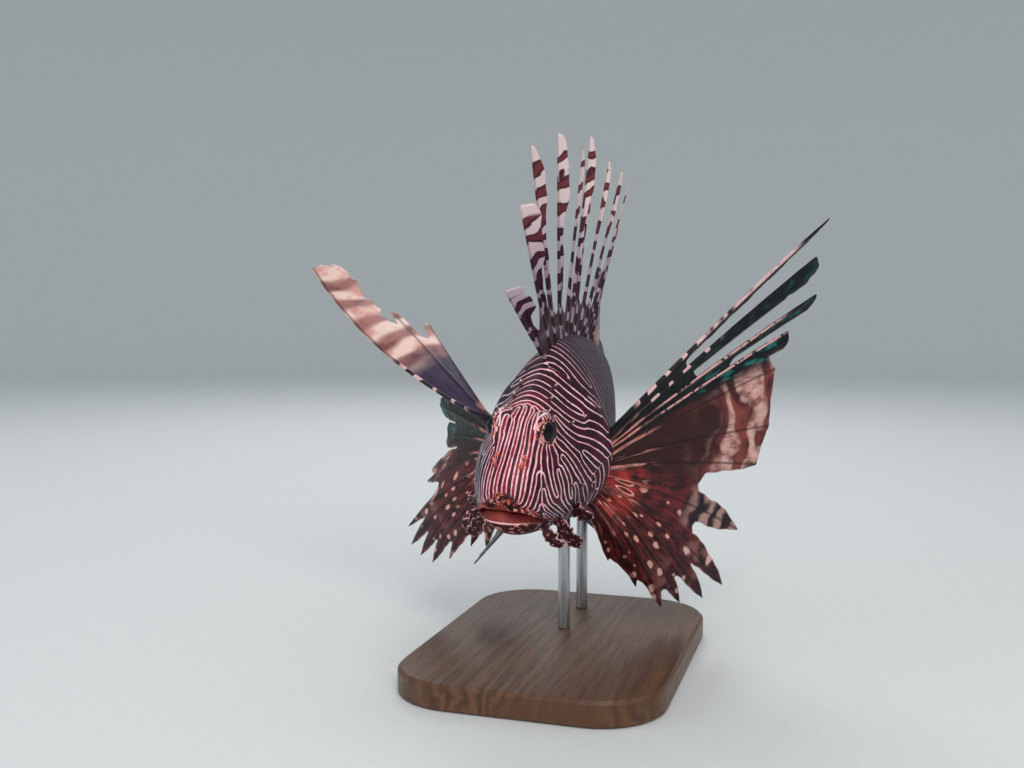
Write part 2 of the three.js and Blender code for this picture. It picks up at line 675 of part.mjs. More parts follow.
const middle = 98;              // distance from the snout to the point that hangs over the base's centre
const leaned = new THREE.Group();
fish.position.y = -middle;
leaned.add(fish);
leaned.rotation.y = rad(bank);
const posed = new THREE.Group();
posed.rotation.x = rad(pitch);
posed.add(leaned);
posed.updateMatrixWorld(true);
posed.position.z = base.height + baseClearance - new THREE.Box3().setFromObject(posed, true).min.z;
posed.updateMatrixWorld(true);

// Stand: a round-cornered hardwood base and two steel rods up to the belly

function buildBase() {
  const x = base.length / 2 - base.bevel;
  const y = base.width / 2 - base.bevel;
  const r = base.corner;
  const outline = new THREE.Shape();
  outline.moveTo(y - r, -x);
  outline.absarc(y - r, -x + r, r, -Math.PI / 2, 0);
  outline.absarc(y - r, x - r, r, 0, Math.PI / 2);
  outline.absarc(-y + r, x - r, r, Math.PI / 2, Math.PI);
  outline.absarc(-y + r, -x + r, r, Math.PI, 1.5 * Math.PI);
  const plate = new THREE.ExtrudeGeometry(outline, {
    depth: base.height - 2 * base.bevel,
    bevelThickness: base.bevel,
    bevelSize: base.bevel,
    bevelSegments: 1,
    curveSegments: 5,
  });
  plate.translate(0, 0, base.bevel);
  return toGeometry(toSolid(plate));
}

function placedSkin() {
  const skin = swung(toGeometry(bodyStretch({
    from: () => 60, to: () => 200, ringCount: 40, sides: 48, grow: gap,
  })));
  skin.applyMatrix4(fish.matrixWorld);
  return toSolid(skin);
}

const skinOverStand = placedSkin();

function buildRod(s) {
  const seat = bodyPoint(s, Math.PI, -2);
  seat.x += swingAt(s);
  seat.applyMatrix4(fish.matrixWorld);
  const bottom = base.height + gap;
  const rod = new THREE.CylinderGeometry(rodRadius, rodRadius, seat.z + 6 - bottom, 20);
  rod.rotateX(Math.PI / 2);
  rod.translate(seat.x, seat.y, (seat.z + 6 + bottom) / 2);
  return toGeometry(toSolid(rod).subtract(skinOverStand));
}

const lionfish = new THREE.Group();
lionfish.add(
  posed,
  piece('stand_base', buildBase(), walnut),
  piece('stand_rod_front', buildRod(106), steel),
  piece('stand_rod_rear', buildRod(148), steel),
);

export default lionfish;
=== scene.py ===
# %% [markdown]
# # A life-size red lionfish for a museum case
#
# The real animal swims with its pectoral fins spread like fans and its dorsal spines raised. The model
# is a painted cast on a plain stand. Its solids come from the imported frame. This script dresses them: one
# continuous striped skin, glass eyes, fins made of rays and film, and a proper finish for the stand.
#
# Everything is worked out in the fish's own frame first, in millimetres: x to its left, y from snout to
# tail, z up. One function then carries points into the scene, in metres.

# %% Load the frame
import functools
import math

import bpy
import numpy as np
from mathutils import Matrix, Vector


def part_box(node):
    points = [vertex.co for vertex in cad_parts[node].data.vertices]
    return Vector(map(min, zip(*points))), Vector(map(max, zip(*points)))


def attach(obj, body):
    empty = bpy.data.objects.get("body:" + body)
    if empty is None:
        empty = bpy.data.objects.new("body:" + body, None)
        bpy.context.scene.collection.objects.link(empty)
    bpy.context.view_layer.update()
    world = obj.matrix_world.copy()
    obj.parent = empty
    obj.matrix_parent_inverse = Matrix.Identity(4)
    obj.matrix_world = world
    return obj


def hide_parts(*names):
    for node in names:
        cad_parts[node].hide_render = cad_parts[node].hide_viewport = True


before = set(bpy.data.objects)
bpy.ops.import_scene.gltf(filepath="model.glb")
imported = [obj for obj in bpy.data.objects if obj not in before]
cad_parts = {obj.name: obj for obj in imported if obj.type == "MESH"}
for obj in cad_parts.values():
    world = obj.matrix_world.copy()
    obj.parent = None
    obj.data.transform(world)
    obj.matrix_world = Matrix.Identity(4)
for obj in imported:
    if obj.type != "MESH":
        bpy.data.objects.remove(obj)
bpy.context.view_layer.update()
print("the frame has", len(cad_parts), "nodes")

# %% [markdown]
# ## Where the fish hangs
#
# The fish leans a little onto its left side and carries its tail high. The same three numbers were used
# for the solids, and the height comes from a solid itself: the ball of the left eye.

# %% Pose of the fish
MM = 0.001
PITCH = math.radians(11)
BANK = math.radians(4.4)
MIDDLE = 98.0                       # distance from the snout to the point over the base's centre
EYE_PLACE = np.array([9.2, 27.0, 18.6])
EYE_RADIUS = 6.0
TAIL_SWING = 13.0
SWING_START = 110.0
STANDARD_LENGTH = 230.0

lean = np.array(Matrix.Rotation(PITCH, 3, "X") @ Matrix.Rotation(BANK, 3, "Y"))
leaned_eye = lean @ (EYE_PLACE - [0, MIDDLE, 0])
eye_low, eye_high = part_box("eye_left")
LIFT = (eye_low.z + eye_high.z) / 2 / MM - leaned_eye[2]
print("the body's axis hangs", round(LIFT, 1), "mm over the floor")


def to_scene(points, swings=False):
    """Points in the fish's frame, in mm, become scene points in metres."""
    p = np.array(points, float).reshape(-1, 3)
    if swings:
        past = np.maximum(0, p[:, 1] - SWING_START) / (STANDARD_LENGTH - SWING_START)
        p[:, 0] -= TAIL_SWING * past ** 2
    return ((p - [0, MIDDLE, 0]) @ lean.T + [0, 0, LIFT]) * MM


# %% [markdown]
# ## Camera, floor and light
#
# The camera looks at the fish nearly head on, from slightly to its left and a little above. The light is
# plain and soft: one large panel from above and in front, a second one to fill, and a third behind to
# draw the edges of the fins. The floor is a pale round dish whose rim curves up, so it looks plain from
# every side.

# %% Camera
camera_data = bpy.data.cameras.new("camera")
camera_data.sensor_width = 36.0
camera_data.lens = 38.67
camera = bpy.data.objects.new("camera", camera_data)
camera.location = to_scene([126.3, -398.5, 164.2])[0]
camera.rotation_euler = (math.radians(86), 0, math.radians(17.64))
bpy.context.scene.collection.objects.link(camera)
bpy.context.scene.camera = camera
bpy.context.scene.view_settings.view_transform = "Standard"
print("the camera stands at", [round(v, 3) for v in camera.location])


# %% Colour and node helpers
def paint(hex_colour):
    """An sRGB hex value as linear RGBA."""
    parts = [int(hex_colour[i:i + 2], 16) / 255 for i in (1, 3, 5)]
    linear = [c / 12.92 if c <= 0.04045 else ((c + 0.055) / 1.055) ** 2.4 for c in parts]
    return (*linear, 1.0)


# Settings, socket values and output that most nodes of a kind share here. A ramp goes smoothly from its third
# value at its first limit to its fourth at its second.
USUAL = {"MapRange": {"interpolation_type": "SMOOTHSTEP"},
         "Mix": {"data_type": "RGBA"},
         "TexNoise": {"Detail": 3.0, "Roughness": 0.55},
         "TexCoord": {"output": "Object"},
         "Attribute": {"output": "Fac"}}
FIRST_WORD = {"Math": "operation", "Mix": "blend_type", "Attribute": "attribute_name"}


def add_node(tree, kind, *values, **named):
    """Adds a node and returns an output socket, the first one unless it is named. A word that comes first is
    the kind's main setting, and the values go to the open inputs in order. A named value is an input if its
    name starts with a capital, and a setting if it doesn't."""
    node = tree.nodes.new("ShaderNode" + kind)
    if values and isinstance(values[0], str):
        setattr(node, FIRST_WORD[kind], values[0])
        values = values[1:]
    named = {**USUAL.get(kind, {}), **named}
    output = named.pop("output", None)
    for name, value in named.items():
        if name[0].islower():
            setattr(node, name, value)
    pairs = list(zip([socket for socket in node.inputs if socket.enabled], values))
    pairs += [(node.inputs[key.replace("_", " ")], value) for key, value in named.items() if key[0].isupper()]
    for socket, value in pairs:
        if isinstance(value, bpy.types.NodeSocket):
            tree.links.new(value, socket)
        else:
            socket.default_value = value
    return node.outputs[output] if output else next(socket for socket in node.outputs if socket.enabled)


def new_material(name):
    """A new material with its principled shader and the function that adds nodes to it."""
    material = bpy.data.materials.new(name)
    material.use_nodes = True
    tree = material.node_tree
    return material, tree, tree.nodes["Principled BSDF"], functools.partial(add_node, tree)


# %% Floor and light
floor_material, tree, shader, add = new_material("matt_backdrop_paper")
where = add("TexCoord")
fibre = add("TexNoise", Vector=where, Scale=1 / (6.0 * MM))
tone = add("Mix", fibre, paint("#d6d9da"), paint("#dee0e0"))
tree.links.new(tone, shader.inputs["Base Color"])
shader.inputs["Roughness"].default_value = 0.85

SWEEP_SIDES = 96
sweep_at = 2.4
sweep_radius = 1.2
profile = [(0.02, 0.0), (0.6, 0.0), (1.5, 0.0), (sweep_at, 0.0)]
for step in range(1, 25):
    turn = math.pi / 2 * step / 24
    profile.append((sweep_at + sweep_radius * math.sin(turn), sweep_radius * (1 - math.cos(turn))))
profile.append((sweep_at + sweep_radius, 4.0))
turns = [2 * math.pi * k / SWEEP_SIDES for k in range(SWEEP_SIDES)]
floor_points = [(r * math.cos(turn), r * math.sin(turn), z) for r, z in profile for turn in turns]
floor_faces = [tuple(range(SWEEP_SIDES))]
for ring in range(len(profile) - 1):
    for k in range(SWEEP_SIDES):
        here, there = ring * SWEEP_SIDES + k, ring * SWEEP_SIDES + (k + 1) % SWEEP_SIDES
        floor_faces.append((here, here + SWEEP_SIDES, there + SWEEP_SIDES, there))
floor_mesh = bpy.data.meshes.new("backdrop")
floor_mesh.from_pydata(floor_points, [], floor_faces)
floor_mesh.polygons.foreach_set("use_smooth", [True] * len(floor_faces))
floor_mesh.materials.append(floor_material)
floor = bpy.data.objects.new("backdrop", floor_mesh)
bpy.context.scene.collection.objects.link(floor)

fish_centre = Vector(to_scene([0, 60, 0])[0])


def softbox(name, place, size, watts, colour="#ffffff"):
    data = bpy.data.lights.new(name, "AREA")
    data.shape = "DISK"
    data.size = size
    data.energy = watts
    data.color = paint(colour)[:3]
    light = bpy.data.objects.new(name, data)
    light.location = place
    light.rotation_euler = (fish_centre - Vector(place)).to_track_quat("-Z", "Y").to_euler()
    bpy.context.scene.collection.objects.link(light)


softbox("key", (0.55, -1.1, 1.15), 0.8, 13, "#fffaf5")
softbox("fill", (-1.2, -0.9, 0.5), 1.0, 4, "#f3f7ff")
softbox("edge", (-0.4, 1.1, 1.2), 0.8, 7, "#ffffff")
world = bpy.data.worlds.new("studio")
world.use_nodes = True
world.node_tree.nodes["Background"].inputs["Color"].default_value = paint("#dfe6ea")
world.node_tree.nodes["Background"].inputs["Strength"].default_value = 0.8
bpy.context.scene.world = world
print("one sweep of paper and three softboxes")

# %% [markdown]
# ## The body's form
#
# A fish's body is easiest to describe by slices across it. At each station the table gives the height of
# the back and the belly, the half width, the height of the widest line, and how pinched the crown is.
# These are the same stations that the solids were made from, so the skin fits the stand and the fins.

# %% Stations of the body
STATIONS = np.array([
    # along, top, bottom, half width, middle, crown
    (0, -5.5, -10.5, 3, -8, 2.2),
    (1.2, -3, -13.5, 6.5, -8, 2.2),
    (4, 2, -17, 9.5, -8, 2.1),
    (10, 9, -22, 13.2, -8, 2),
    (18, 17, -26, 17, -9, 2.1),
    (28, 25, -29, 21, -9, 2),
    (40, 31, -32, 24.5, -8, 1.58),
    (54, 37, -36, 27.5, -6, 1.4),
    (68, 43, -39, 29, -4, 1.45),
    (84, 45, -40, 28, -3, 1.45),
    (104, 43, -38, 25, -2, 1.5),
    (130, 37, -33, 20, -1, 1.6),
    (156, 28, -25, 15, 0, 1.8),
    (184, 17, -15, 9.5, 0, 2),
    (208, 12, -11, 6, 0.5, 2),
    (STANDARD_LENGTH, 12, -11, 3.5, 0.5, 2),
])
COLUMN = {"top": 1, "bottom": 2, "half": 3, "mid": 4, "crown": 5}
BELLY = 1.9
GILL_TOP = 58.0
GILL_SWEEP = 18.0


def body_size(key, along):
    """A smooth curve through the stations, for one of their sizes."""
    at, value = STATIONS[:, 0], STATIONS[:, COLUMN[key]]
    slope = np.gradient(value)
    slope[1:-1] = (value[2:] - value[:-2]) / (at[2:] - at[:-2])
    slope[0] = (value[1] - value[0]) / (at[1] - at[0])
    slope[-1] = (value[-1] - value[-2]) / (at[-1] - at[-2])
    along = np.asarray(along, float)
    k = np.clip(np.searchsorted(at, along, side="right") - 1, 0, len(at) - 2)
    run = at[k + 1] - at[k]
    t = np.clip((along - at[k]) / run, 0, 1)
    return ((2 * t ** 3 - 3 * t ** 2 + 1) * value[k] + (t ** 3 - 2 * t ** 2 + t) * run * slope[k]
            + (3 * t ** 2 - 2 * t ** 3) * value[k + 1] + (t ** 3 - t ** 2) * run * slope[k + 1])


def body_point(along, around, grow=0.0):
    """The point at a distance from the snout and an angle round the body, from the back over the left."""
    along, around = np.broadcast_arrays(np.asarray(along, float), np.asarray(around, float))
    mid = body_size("mid", along)
    is_upper = np.cos(around) > 0
    height = np.where(is_upper, body_size("top", along) - mid, mid - body_size("bottom", along))
    power = 2 / np.where(is_upper, body_size("crown", along), BELLY)
    sine, cosine = np.sin(around), np.cos(around)
    x = (body_size("half", along) + grow) * np.sign(sine) * np.abs(sine) ** power
    z = mid + (height + grow) * np.sign(cosine) * np.abs(cosine) ** power
    return np.stack([x, along, z], axis=-1)


def gill_edge(around):
    return GILL_TOP + GILL_SWEEP * np.sin(around) ** 2 - 2 * (1 - np.cos(around))


print("the body is", round(float(body_size("top", 84) - body_size("bottom", 84))), "mm deep")

# %% [markdown]
# ## One skin from lips to tail
#
# The skin is a grid of rows and columns: columns run from the mouth to the tail, rows run round the body.
# The first rows line the mouth and roll over the lips. At the back of the head the rows fold under, which
# gives the free edge of the gill cover, and the fold fades out over the nape, where skin is continuous.
# A grid is worth the trouble, because the stripes can later be grown on it as on a flat sheet.

# %% Rows and columns of the skin
COLUMNS = 480
HEAD_ROWS = 230
TRUNK_ROWS = 190
LINING_ROWS = 12
MOUTH_CORNER = (18.0, -17.5)        # along and height
UPPER_LIP = -7.2                    # height of each jaw's edge at the snout
LOWER_LIP = -12.6
GILL_FLARE = 1.8

around = np.linspace(-math.pi, math.pi, COLUMNS, endpoint=False)


def mouth_outline():
    """For each column, how far back the mouth reaches. It lies where the skin crosses the jaws' edges."""
    along = np.linspace(0, MOUTH_CORNER[0], 400)[:, None]
    height = body_point(along, around[None, :])[..., 2]
    share = along / MOUTH_CORNER[0]
    upper = UPPER_LIP + (MOUTH_CORNER[1] - UPPER_LIP) * share
    lower = LOWER_LIP + (MOUTH_CORNER[1] - LOWER_LIP) * share
    inside = (height < upper) & (height > lower)
    reach = np.where(inside, along, 0).max(axis=0)
    for _ in range(12):
        reach = (np.roll(reach, 1) + 2 * reach + np.roll(reach, -1)) / 4
    return reach


mouth_reach = mouth_outline()
side = np.sin(around) ** 2
gill = gill_edge(around)

head_share = np.linspace(0, 1, HEAD_ROWS)[:, None] ** 1.15
head_along = mouth_reach + (gill - mouth_reach) * head_share
head_grow = GILL_FLARE * side * np.clip((head_share - 0.84) / 0.16, 0, 1)

# Each fold row has a step along the body and a height over it, at the side, where the flap is free
FOLD = [(0.4, GILL_FLARE - 0.35), (0.5, GILL_FLARE - 0.8), (0.1, GILL_FLARE - 1.2), (-2.0, 0.35),
    (-3.0, 0.0)]
fold_along = np.stack([gill + 0.3 * (k + 1) * (1 - side) + step * side for k, (step, _) in enumerate(FOLD)])
fold_grow = np.stack([height * side for _, height in FOLD])

trunk_from = fold_along[-1] + 0.4
trunk_share = np.linspace(0, 1, TRUNK_ROWS)[:, None]
trunk_along = trunk_from + (STANDARD_LENGTH - 1 - trunk_from) * trunk_share

along = np.concatenate([head_along, fold_along, trunk_along])
grow = np.concatenate([head_grow, fold_grow, np.zeros_like(trunk_along)])
skin = body_point(along, around[None, :], grow)
ROWS = len(skin)

# The slices come to a point at the crown, so the crown is rounded a little
crown = np.exp(-(around / math.radians(16)) ** 2)[None, :, None]
for _ in range(70):
    middle = (np.roll(skin, 1, axis=1) + np.roll(skin, -1, axis=1)) / 2
    skin += crown * 0.5 * (middle - skin)
print("the skin's grid has", ROWS, "rows and", COLUMNS, "columns")


# %% Normals and distances on the grid
def grid_frames(points):
    """Unit vectors down the rows and across the columns, the outward normal, and the cell sizes in mm."""
    down = np.gradient(points, axis=0)
    across = (np.roll(points, -1, axis=1) - np.roll(points, 1, axis=1)) / 2
    row_mm = np.linalg.norm(down, axis=2) + 1e-6
    column_mm = np.linalg.norm(across, axis=2) + 1e-6
    normal = np.cross(across, down)
    normal /= np.linalg.norm(normal, axis=2, keepdims=True) + 1e-9
    return down / row_mm[..., None], across / column_mm[..., None], normal, row_mm, column_mm


_, _, outward, row_mm, _ = grid_frames(skin)
left_column = COLUMNS * 3 // 4
if outward[ROWS // 2, left_column, 0] < 0:
    outward = -outward
lip_distance = np.cumsum(row_mm, axis=0) - row_mm[0]
print("rows are", round(float(row_mm[:HEAD_ROWS].mean()), 2), "mm apart on the head")

# %% [markdown]
# ## Eyes, lips and nostrils in relief
#
# The eyes sit in mounds at the edge of the flat forehead and look sideways. Each mound is raised by
# pushing the skin out along rays from a point deep in the head, until it wraps the eyeball, and the
# opening between the lids is pushed back in behind the ball. Lips are a roll along the mouth's edge.

# %% Mounds and lids of the eyes
LID_OUTWARD = np.array([0.92, -0.35, 0.18])
LID_ANGLE = math.radians(54)        # half angle of the opening, seen from the eye's centre
MOUND_RADIUS = 7.2
MOUND_STRETCH = 1.35
BROW_OFF = 2.6                      # from the lid's edge to the pale arc over the eye
FOREHEAD_SLOPE = math.radians(36)


def smooth_step(value, low, high):
    t = np.clip((value - low) / (high - low), 0, 1)
    return t * t * (3 - 2 * t)


def raise_mound(points, hand):
    """Pushes the skin out over one eye. hand is 1 for the left and -1 for the right."""
    mirror = np.array([hand, 1, 1])
    eye = EYE_PLACE * mirror
    deep = eye - 8.0 * np.array([0.62, -0.45, 0.64]) * mirror
    slope = np.array([[1, 0, 0], [0, math.cos(FOREHEAD_SLOPE), math.sin(FOREHEAD_SLOPE)],
                      [0, -math.sin(FOREHEAD_SLOPE), math.cos(FOREHEAD_SLOPE)]])
    squeeze = np.array([1, 1 / MOUND_STRETCH, 1])
    near = np.linalg.norm(points - eye, axis=2) < 20
    ray = points[near] - deep
    reach = np.linalg.norm(ray, axis=1)
    ray /= reach[:, None]
    # Where the ray leaves the ellipsoid round the eye
    start = (slope @ (deep - eye)) * squeeze
    step = (ray @ slope.T) * squeeze
    a = (step ** 2).sum(1)
    b = step @ start
    c = start @ start - MOUND_RADIUS ** 2
    room = b * b - a * c
    leave = np.where(room > 0, (-b + np.sqrt(np.maximum(room, 0))) / a, -9)
    soft = 1.6
    higher = leave - reach
    lifted = reach + np.where(higher > -soft, (np.maximum(higher + soft, 0)) ** 2 / (4 * soft), 0)
    lifted = np.where(higher > soft, leave, lifted)
    moved = deep + ray * lifted[:, None]
    # The opening between the lids
    from_eye = moved - eye
    distance = np.linalg.norm(from_eye, axis=1)
    look = LID_OUTWARD * mirror / np.linalg.norm(LID_OUTWARD)
    angle = np.arccos(np.clip((from_eye @ look) / distance, -1, 1))
    by_ball = 1 - smooth_step(distance, 8.5, 12.0)
    open_share = (1 - smooth_step(angle, LID_ANGLE - 0.10, LID_ANGLE + 0.03)) * by_ball
    # The lids lie close to the ball, and the mound rises away from them
    close = (1 - smooth_step(angle, LID_ANGLE + 0.02, LID_ANGLE + 0.62)) * by_ball
    distance_close = distance + (np.minimum(EYE_RADIUS + 0.55, distance) - distance) * close
    target = distance_close + (np.minimum(EYE_RADIUS - 1.0, distance_close) - distance_close) * open_share
    # A lid's rim stands a little proud
    rim = 0.35 * np.exp(-((angle - LID_ANGLE - 0.10) / 0.07) ** 2) * by_ball
    moved = eye + from_eye / distance[:, None] * (target + rim)[:, None]
    points[near] = moved
    # The pale rim is broad towards the snout and thin behind, so its distances are scaled to match
    towards_snout = smooth_step(-(from_eye / distance[:, None]) @ np.array([0.35 * hand, 0.85, 0.1]),
        0.25, 0.75)
    lid = np.full(points.shape[:2], 9.0)
    lid[near] = (angle - LID_ANGLE) * EYE_RADIUS / (0.5 + 0.9 * towards_snout) + 9 * (1 - by_ball)
    # A pale arc runs over the eye at its own distance from the lid
    over = smooth_step((from_eye / distance[:, None]) @ np.array([-0.2 * hand, -0.25, 0.95]), 0.4, 0.65)
    brow = np.full(points.shape[:2], 9.0)
    brow[near] = np.abs((angle - LID_ANGLE) * EYE_RADIUS - BROW_OFF) + 3 * (1 - over) + 9 * (1 - by_ball)
    return lid, brow


lid_left, brow_left = raise_mound(skin, 1)
lid_right, brow_right = raise_mound(skin, -1)
lid_distance = np.minimum(lid_left, lid_right)
brow_distance = np.minimum(brow_left, brow_right)
print("vertices inside the lids:", int((lid_distance < 0).sum()))

# %% Lips, snout and nostrils
upper_share = smooth_step(np.cos(around), -0.52, -0.38)[None, :]
corner_fade = 1 - 0.55 * np.exp(-((np.abs(around) - math.radians(121)) / 0.16) ** 2)[None, :]
bumps = np.sin(np.cumsum(np.ones(COLUMNS)) * 2 * math.pi / 9.3)[None, :] * 0.16
lip_height = (1.5 + 0.3 * (1 - upper_share)) * corner_fade
lip_roll = lip_height * np.exp(-((lip_distance - 1.8) / 1.5) ** 2)
groove = -0.5 * np.exp(-((lip_distance - 5.2) / 1.2) ** 2) * corner_fade
is_head = (np.arange(ROWS) < HEAD_ROWS)[:, None]
skin += outward * ((lip_roll * (1 + bumps) + groove) * is_head)[..., None]

NOSTRIL = (12.5, math.radians(28))
for hand in (1, -1):
    pit = body_point(NOSTRIL[0], hand * NOSTRIL[1])
    off = np.linalg.norm(skin - pit, axis=2)
    skin -= outward * (1.1 * np.exp(-(off / 0.9) ** 2) - 0.35
        * np.exp(-((off - 2.0) / 0.7) ** 2))[..., None]

# The mouth's lining goes in from the lip's edge and closes a few millimetres back
edge = skin[0]
lining = []
for share in np.linspace(1, 0, LINING_ROWS, endpoint=False):
    y = edge[:, 1] + 4.0 * share ** 1.3
    front = UPPER_LIP - 0.8
    closing = front + (MOUTH_CORNER[1] - front) * np.clip(y / (MOUTH_CORNER[0] + 5), 0, 1)
    x = edge[:, 0] * (1 - 0.12 * share)
    z = edge[:, 2] + (closing - edge[:, 2]) * smooth_step(share, 0.0, 1.0)
    lining.append(np.stack([x, y, z], axis=-1))
skin = np.concatenate([np.array(lining), skin])
pad = ((LINING_ROWS, 0), (0, 0))
along = np.pad(along, pad, mode="edge")
lid_distance = np.pad(lid_distance, pad, constant_values=9.0)
brow_distance = np.pad(brow_distance, pad, constant_values=9.0)
lip_distance = np.pad(lip_distance, pad, constant_values=-1.0)
lip_distance[:LINING_ROWS] = -np.linspace(5, 0.4, LINING_ROWS)[:, None]
ROWS = len(skin)
print("the skin now has", ROWS, "rows")

# %% [markdown]
# ## Growing the stripes
#
# A lionfish's stripes are dark bars edged with thin white lines. They run along the snout, arch over the
# nape, fan out over the cheeks and stand upright on the trunk, and they fork where they spread. Painting
# each by hand would look stiff. Here they grow: a short list of strokes says which way the stripes run
# and how wide they are, faint noise is laid on the grid, and the noise is combed again and again. Each
# pass blurs it along the flow and sharpens it across the flow at the right spacing.

# %% Strokes that guide the flow
# Distance from the snout, angle round the body, direction (0 along the body, 90 down the side), spacing
STROKES = [
    (2, 0, 0, 3.6), (9, 0, 0, 3.6), (17, 0, 0, 3.4), (24, 0, 2, 3.4), (30, 0, 0, 3.6),
    (5, 20, 170, 3.6), (10, 32, 148, 3.8), (20, 21, 155, 3.4), (28, 16, 160, 3.6), (31, 32, 130, 4.5),
    (4, 50, 150, 4.0), (8, 55, 132, 4.4), (15, 53, 110, 5.0), (20, 45, 125, 4.6),
    (17, 69, 82, 5.4), (26, 62, 80, 6.2), (23, 87, 72, 5.4), (29, 87, 82, 6.2), (36, 87, 72, 6.6),
    (35, 55, 52, 7.2), (47, 56, 45, 7.6), (54, 54, 48, 7.8), (58, 42, 54, 8.2), (66, 53, 46, 8.2),
    (72, 70, 36, 7.6), (60, 80, 40, 7.2), (54, 90, 50, 7.0), (44, 94, 58, 6.4), (62, 100, 44, 6.6),
    (36, 0, 90, 6.0), (41, 0, 90, 8.0), (48, 0, 90, 9.0), (56, 0, 90, 9.0),
    (37, 18, 76, 6.4), (44, 20, 84, 8.2), (44, 30, 74, 7.4), (52, 22, 80, 8.8), (60, 22, 84, 9.0),
    (66, 0, 90, 9.0), (67, 38, 80, 9.0), (75, 46, 80, 8.8), (80, 24, 94, 9.0), (86, 70, 78, 8.6),
    (86, 105, 76, 8.0), (97, 50, 104, 8.8), (97, 90, 94, 8.4), (120, 40, 100, 8.8), (120, 90, 96, 8.6),
    (120, 140, 86, 8.0), (150, 60, 96, 8.8), (150, 120, 90, 8.4), (190, 60, 94, 8.4), (190, 120, 90, 8.4),
    (225, 90, 90, 8.0), (80, 180, 90, 7.0), (150, 180, 90, 8.0), (110, 180, 90, 7.6),
    (46, 125, 66, 6.6), (36, 125, 76, 6.2), (24, 120, 86, 5.6), (56, 140, 70, 7.0), (12, 130, 96, 5.0),
    (6, 150, 92, 4.8), (14, 165, 90, 5.0), (4, 180, 90, 4.8), (24, 180, 90, 5.6), (44, 180, 90, 6.6),
]


def guide_fields(points):
    """Flow direction as an angle from the rows' own direction, and spacing in mm, for each grid point."""
    down, across, _, row_size, column_size = grid_frames(points)
    double_cos = np.zeros(points.shape[:2])
    double_sin = np.zeros(points.shape[:2])
    spacing = np.zeros(points.shape[:2])
    total = np.zeros(points.shape[:2])
    for s, degrees, direction, width in STROKES:
        for hand in ((1, -1) if 0 < degrees < 180 else (1,)):
            a = hand * math.radians(degrees)
            foot = body_point(s, a)
            to_tail = body_point(s + 0.5, a) - foot
            to_side = body_point(s, a + 0.01) - body_point(s, a - 0.01)
            to_tail /= np.linalg.norm(to_tail)
            to_side /= np.linalg.norm(to_side)
            turn = math.radians(direction)
            arrow = to_tail * math.cos(turn) + to_side * math.sin(turn) * hand
            weight = 1 / (((points - foot) ** 2).sum(axis=2) + 9.0) ** 2
            x, y = down @ arrow, across @ arrow
            size = x * x + y * y + 1e-9
            double_cos += weight * (x * x - y * y) / size
            double_sin += weight * 2 * x * y / size
            spacing += weight * width
            total += weight
    return np.arctan2(double_sin, double_cos) / 2, spacing / total, row_size, column_size


flow, spacing, row_mm, column_mm = guide_fields(skin)

# Nothing on a fish is ruled: direction and spacing waver, and the right cheek is covered in short squiggles
x, y, z = skin[..., 0], skin[..., 1], skin[..., 2]
waver = np.sin(0.31 * x + 0.23 * y - 0.19 * z + 2 * np.sin(0.11 * y + 0.17 * z))
sway = np.sin(0.27 * x - 0.21 * y + 0.33 * z + 1.5 * np.sin(0.19 * x + 0.13 * z))
tremor = np.sin(0.9 * x + 0.8 * y + 1.1 * z + 2 * np.sin(0.5 * y - 0.7 * z))
squiggle = smooth_step(-x, 9, 15) * smooth_step(66 - y, 0, 12) * smooth_step(14 - z, 0, 8)
chin = smooth_step(-np.cos(around)[None, :] * np.ones_like(x), 0.45, 0.7) * smooth_step(60 - y, 0, 30)
spacing *= (1 + 0.17 * waver) * (1 + 0.3 * squiggle)
forehead = smooth_step(18 - np.abs(x), 2, 10) * smooth_step(38 - along, 0, 8) * (z > -6)
flow += 0.12 * sway + (0.05 + 0.13 * forehead) * tremor + squiggle * (0.5 * sway + 0.45 * tremor)
print("stripe spacing runs from", round(float(spacing.min()), 1), "to", round(float(spacing.max()), 1),
    "mm")

# %% Combing the noise
along_row, along_column = np.cos(flow) / row_mm, np.sin(flow) / column_mm
cross_row, cross_column = -np.sin(flow) / row_mm, np.cos(flow) / column_mm
row_index, column_index = np.mgrid[0:ROWS, 0:COLUMNS].astype(np.float32)


def look_up(field, row_step, column_step):
    """The field's value a step away, between the grid's points, wrapping round the body."""
    r = np.clip(row_index + np.clip(row_step, -64, 64), 0, ROWS - 1.001)
    c = column_index + np.clip(column_step, -120, 120)
    r0 = r.astype(np.int32)
    c0 = np.floor(c).astype(np.int32)
    fr, fc = r - r0, c - c0
    c0 %= COLUMNS
    c1 = (c0 + 1) % COLUMNS
    top = field[r0, c0] * (1 - fc) + field[r0, c1] * fc
    low = field[r0 + 1, c0] * (1 - fc) + field[r0 + 1, c1] * fc
    return top * (1 - fr) + low * fr


def comb(field, run=0.55):
    """One pass: blurred along the flow, then sharpened across it at the stripe spacing."""
    near = spacing / 10
    field = (2 * field + look_up(field, cross_row * near, cross_column * near)
             + look_up(field, -cross_row * near, -cross_column * near)) / 4
    blurred = field * 1.0
    total = 1.0
    for step in (-2, -1, 1, 2):
        weight = math.exp(-(step / 1.6) ** 2)
        reach = step * run * spacing * 0.5
        blurred += weight * look_up(field, along_row * reach, along_column * reach)
        total += weight
    blurred /= total
    sharp = blurred * 1.0
    for step in (1, 2, 3, 4, 5):
        share = step / 6
        reach = share * spacing
        weight = math.cos(2 * math.pi * share) * math.exp(-(share / 0.62) ** 2)
        for sign in (1, -1):
            sharp += weight * look_up(blurred, cross_row * reach * sign, cross_column * reach * sign)
    return sharp


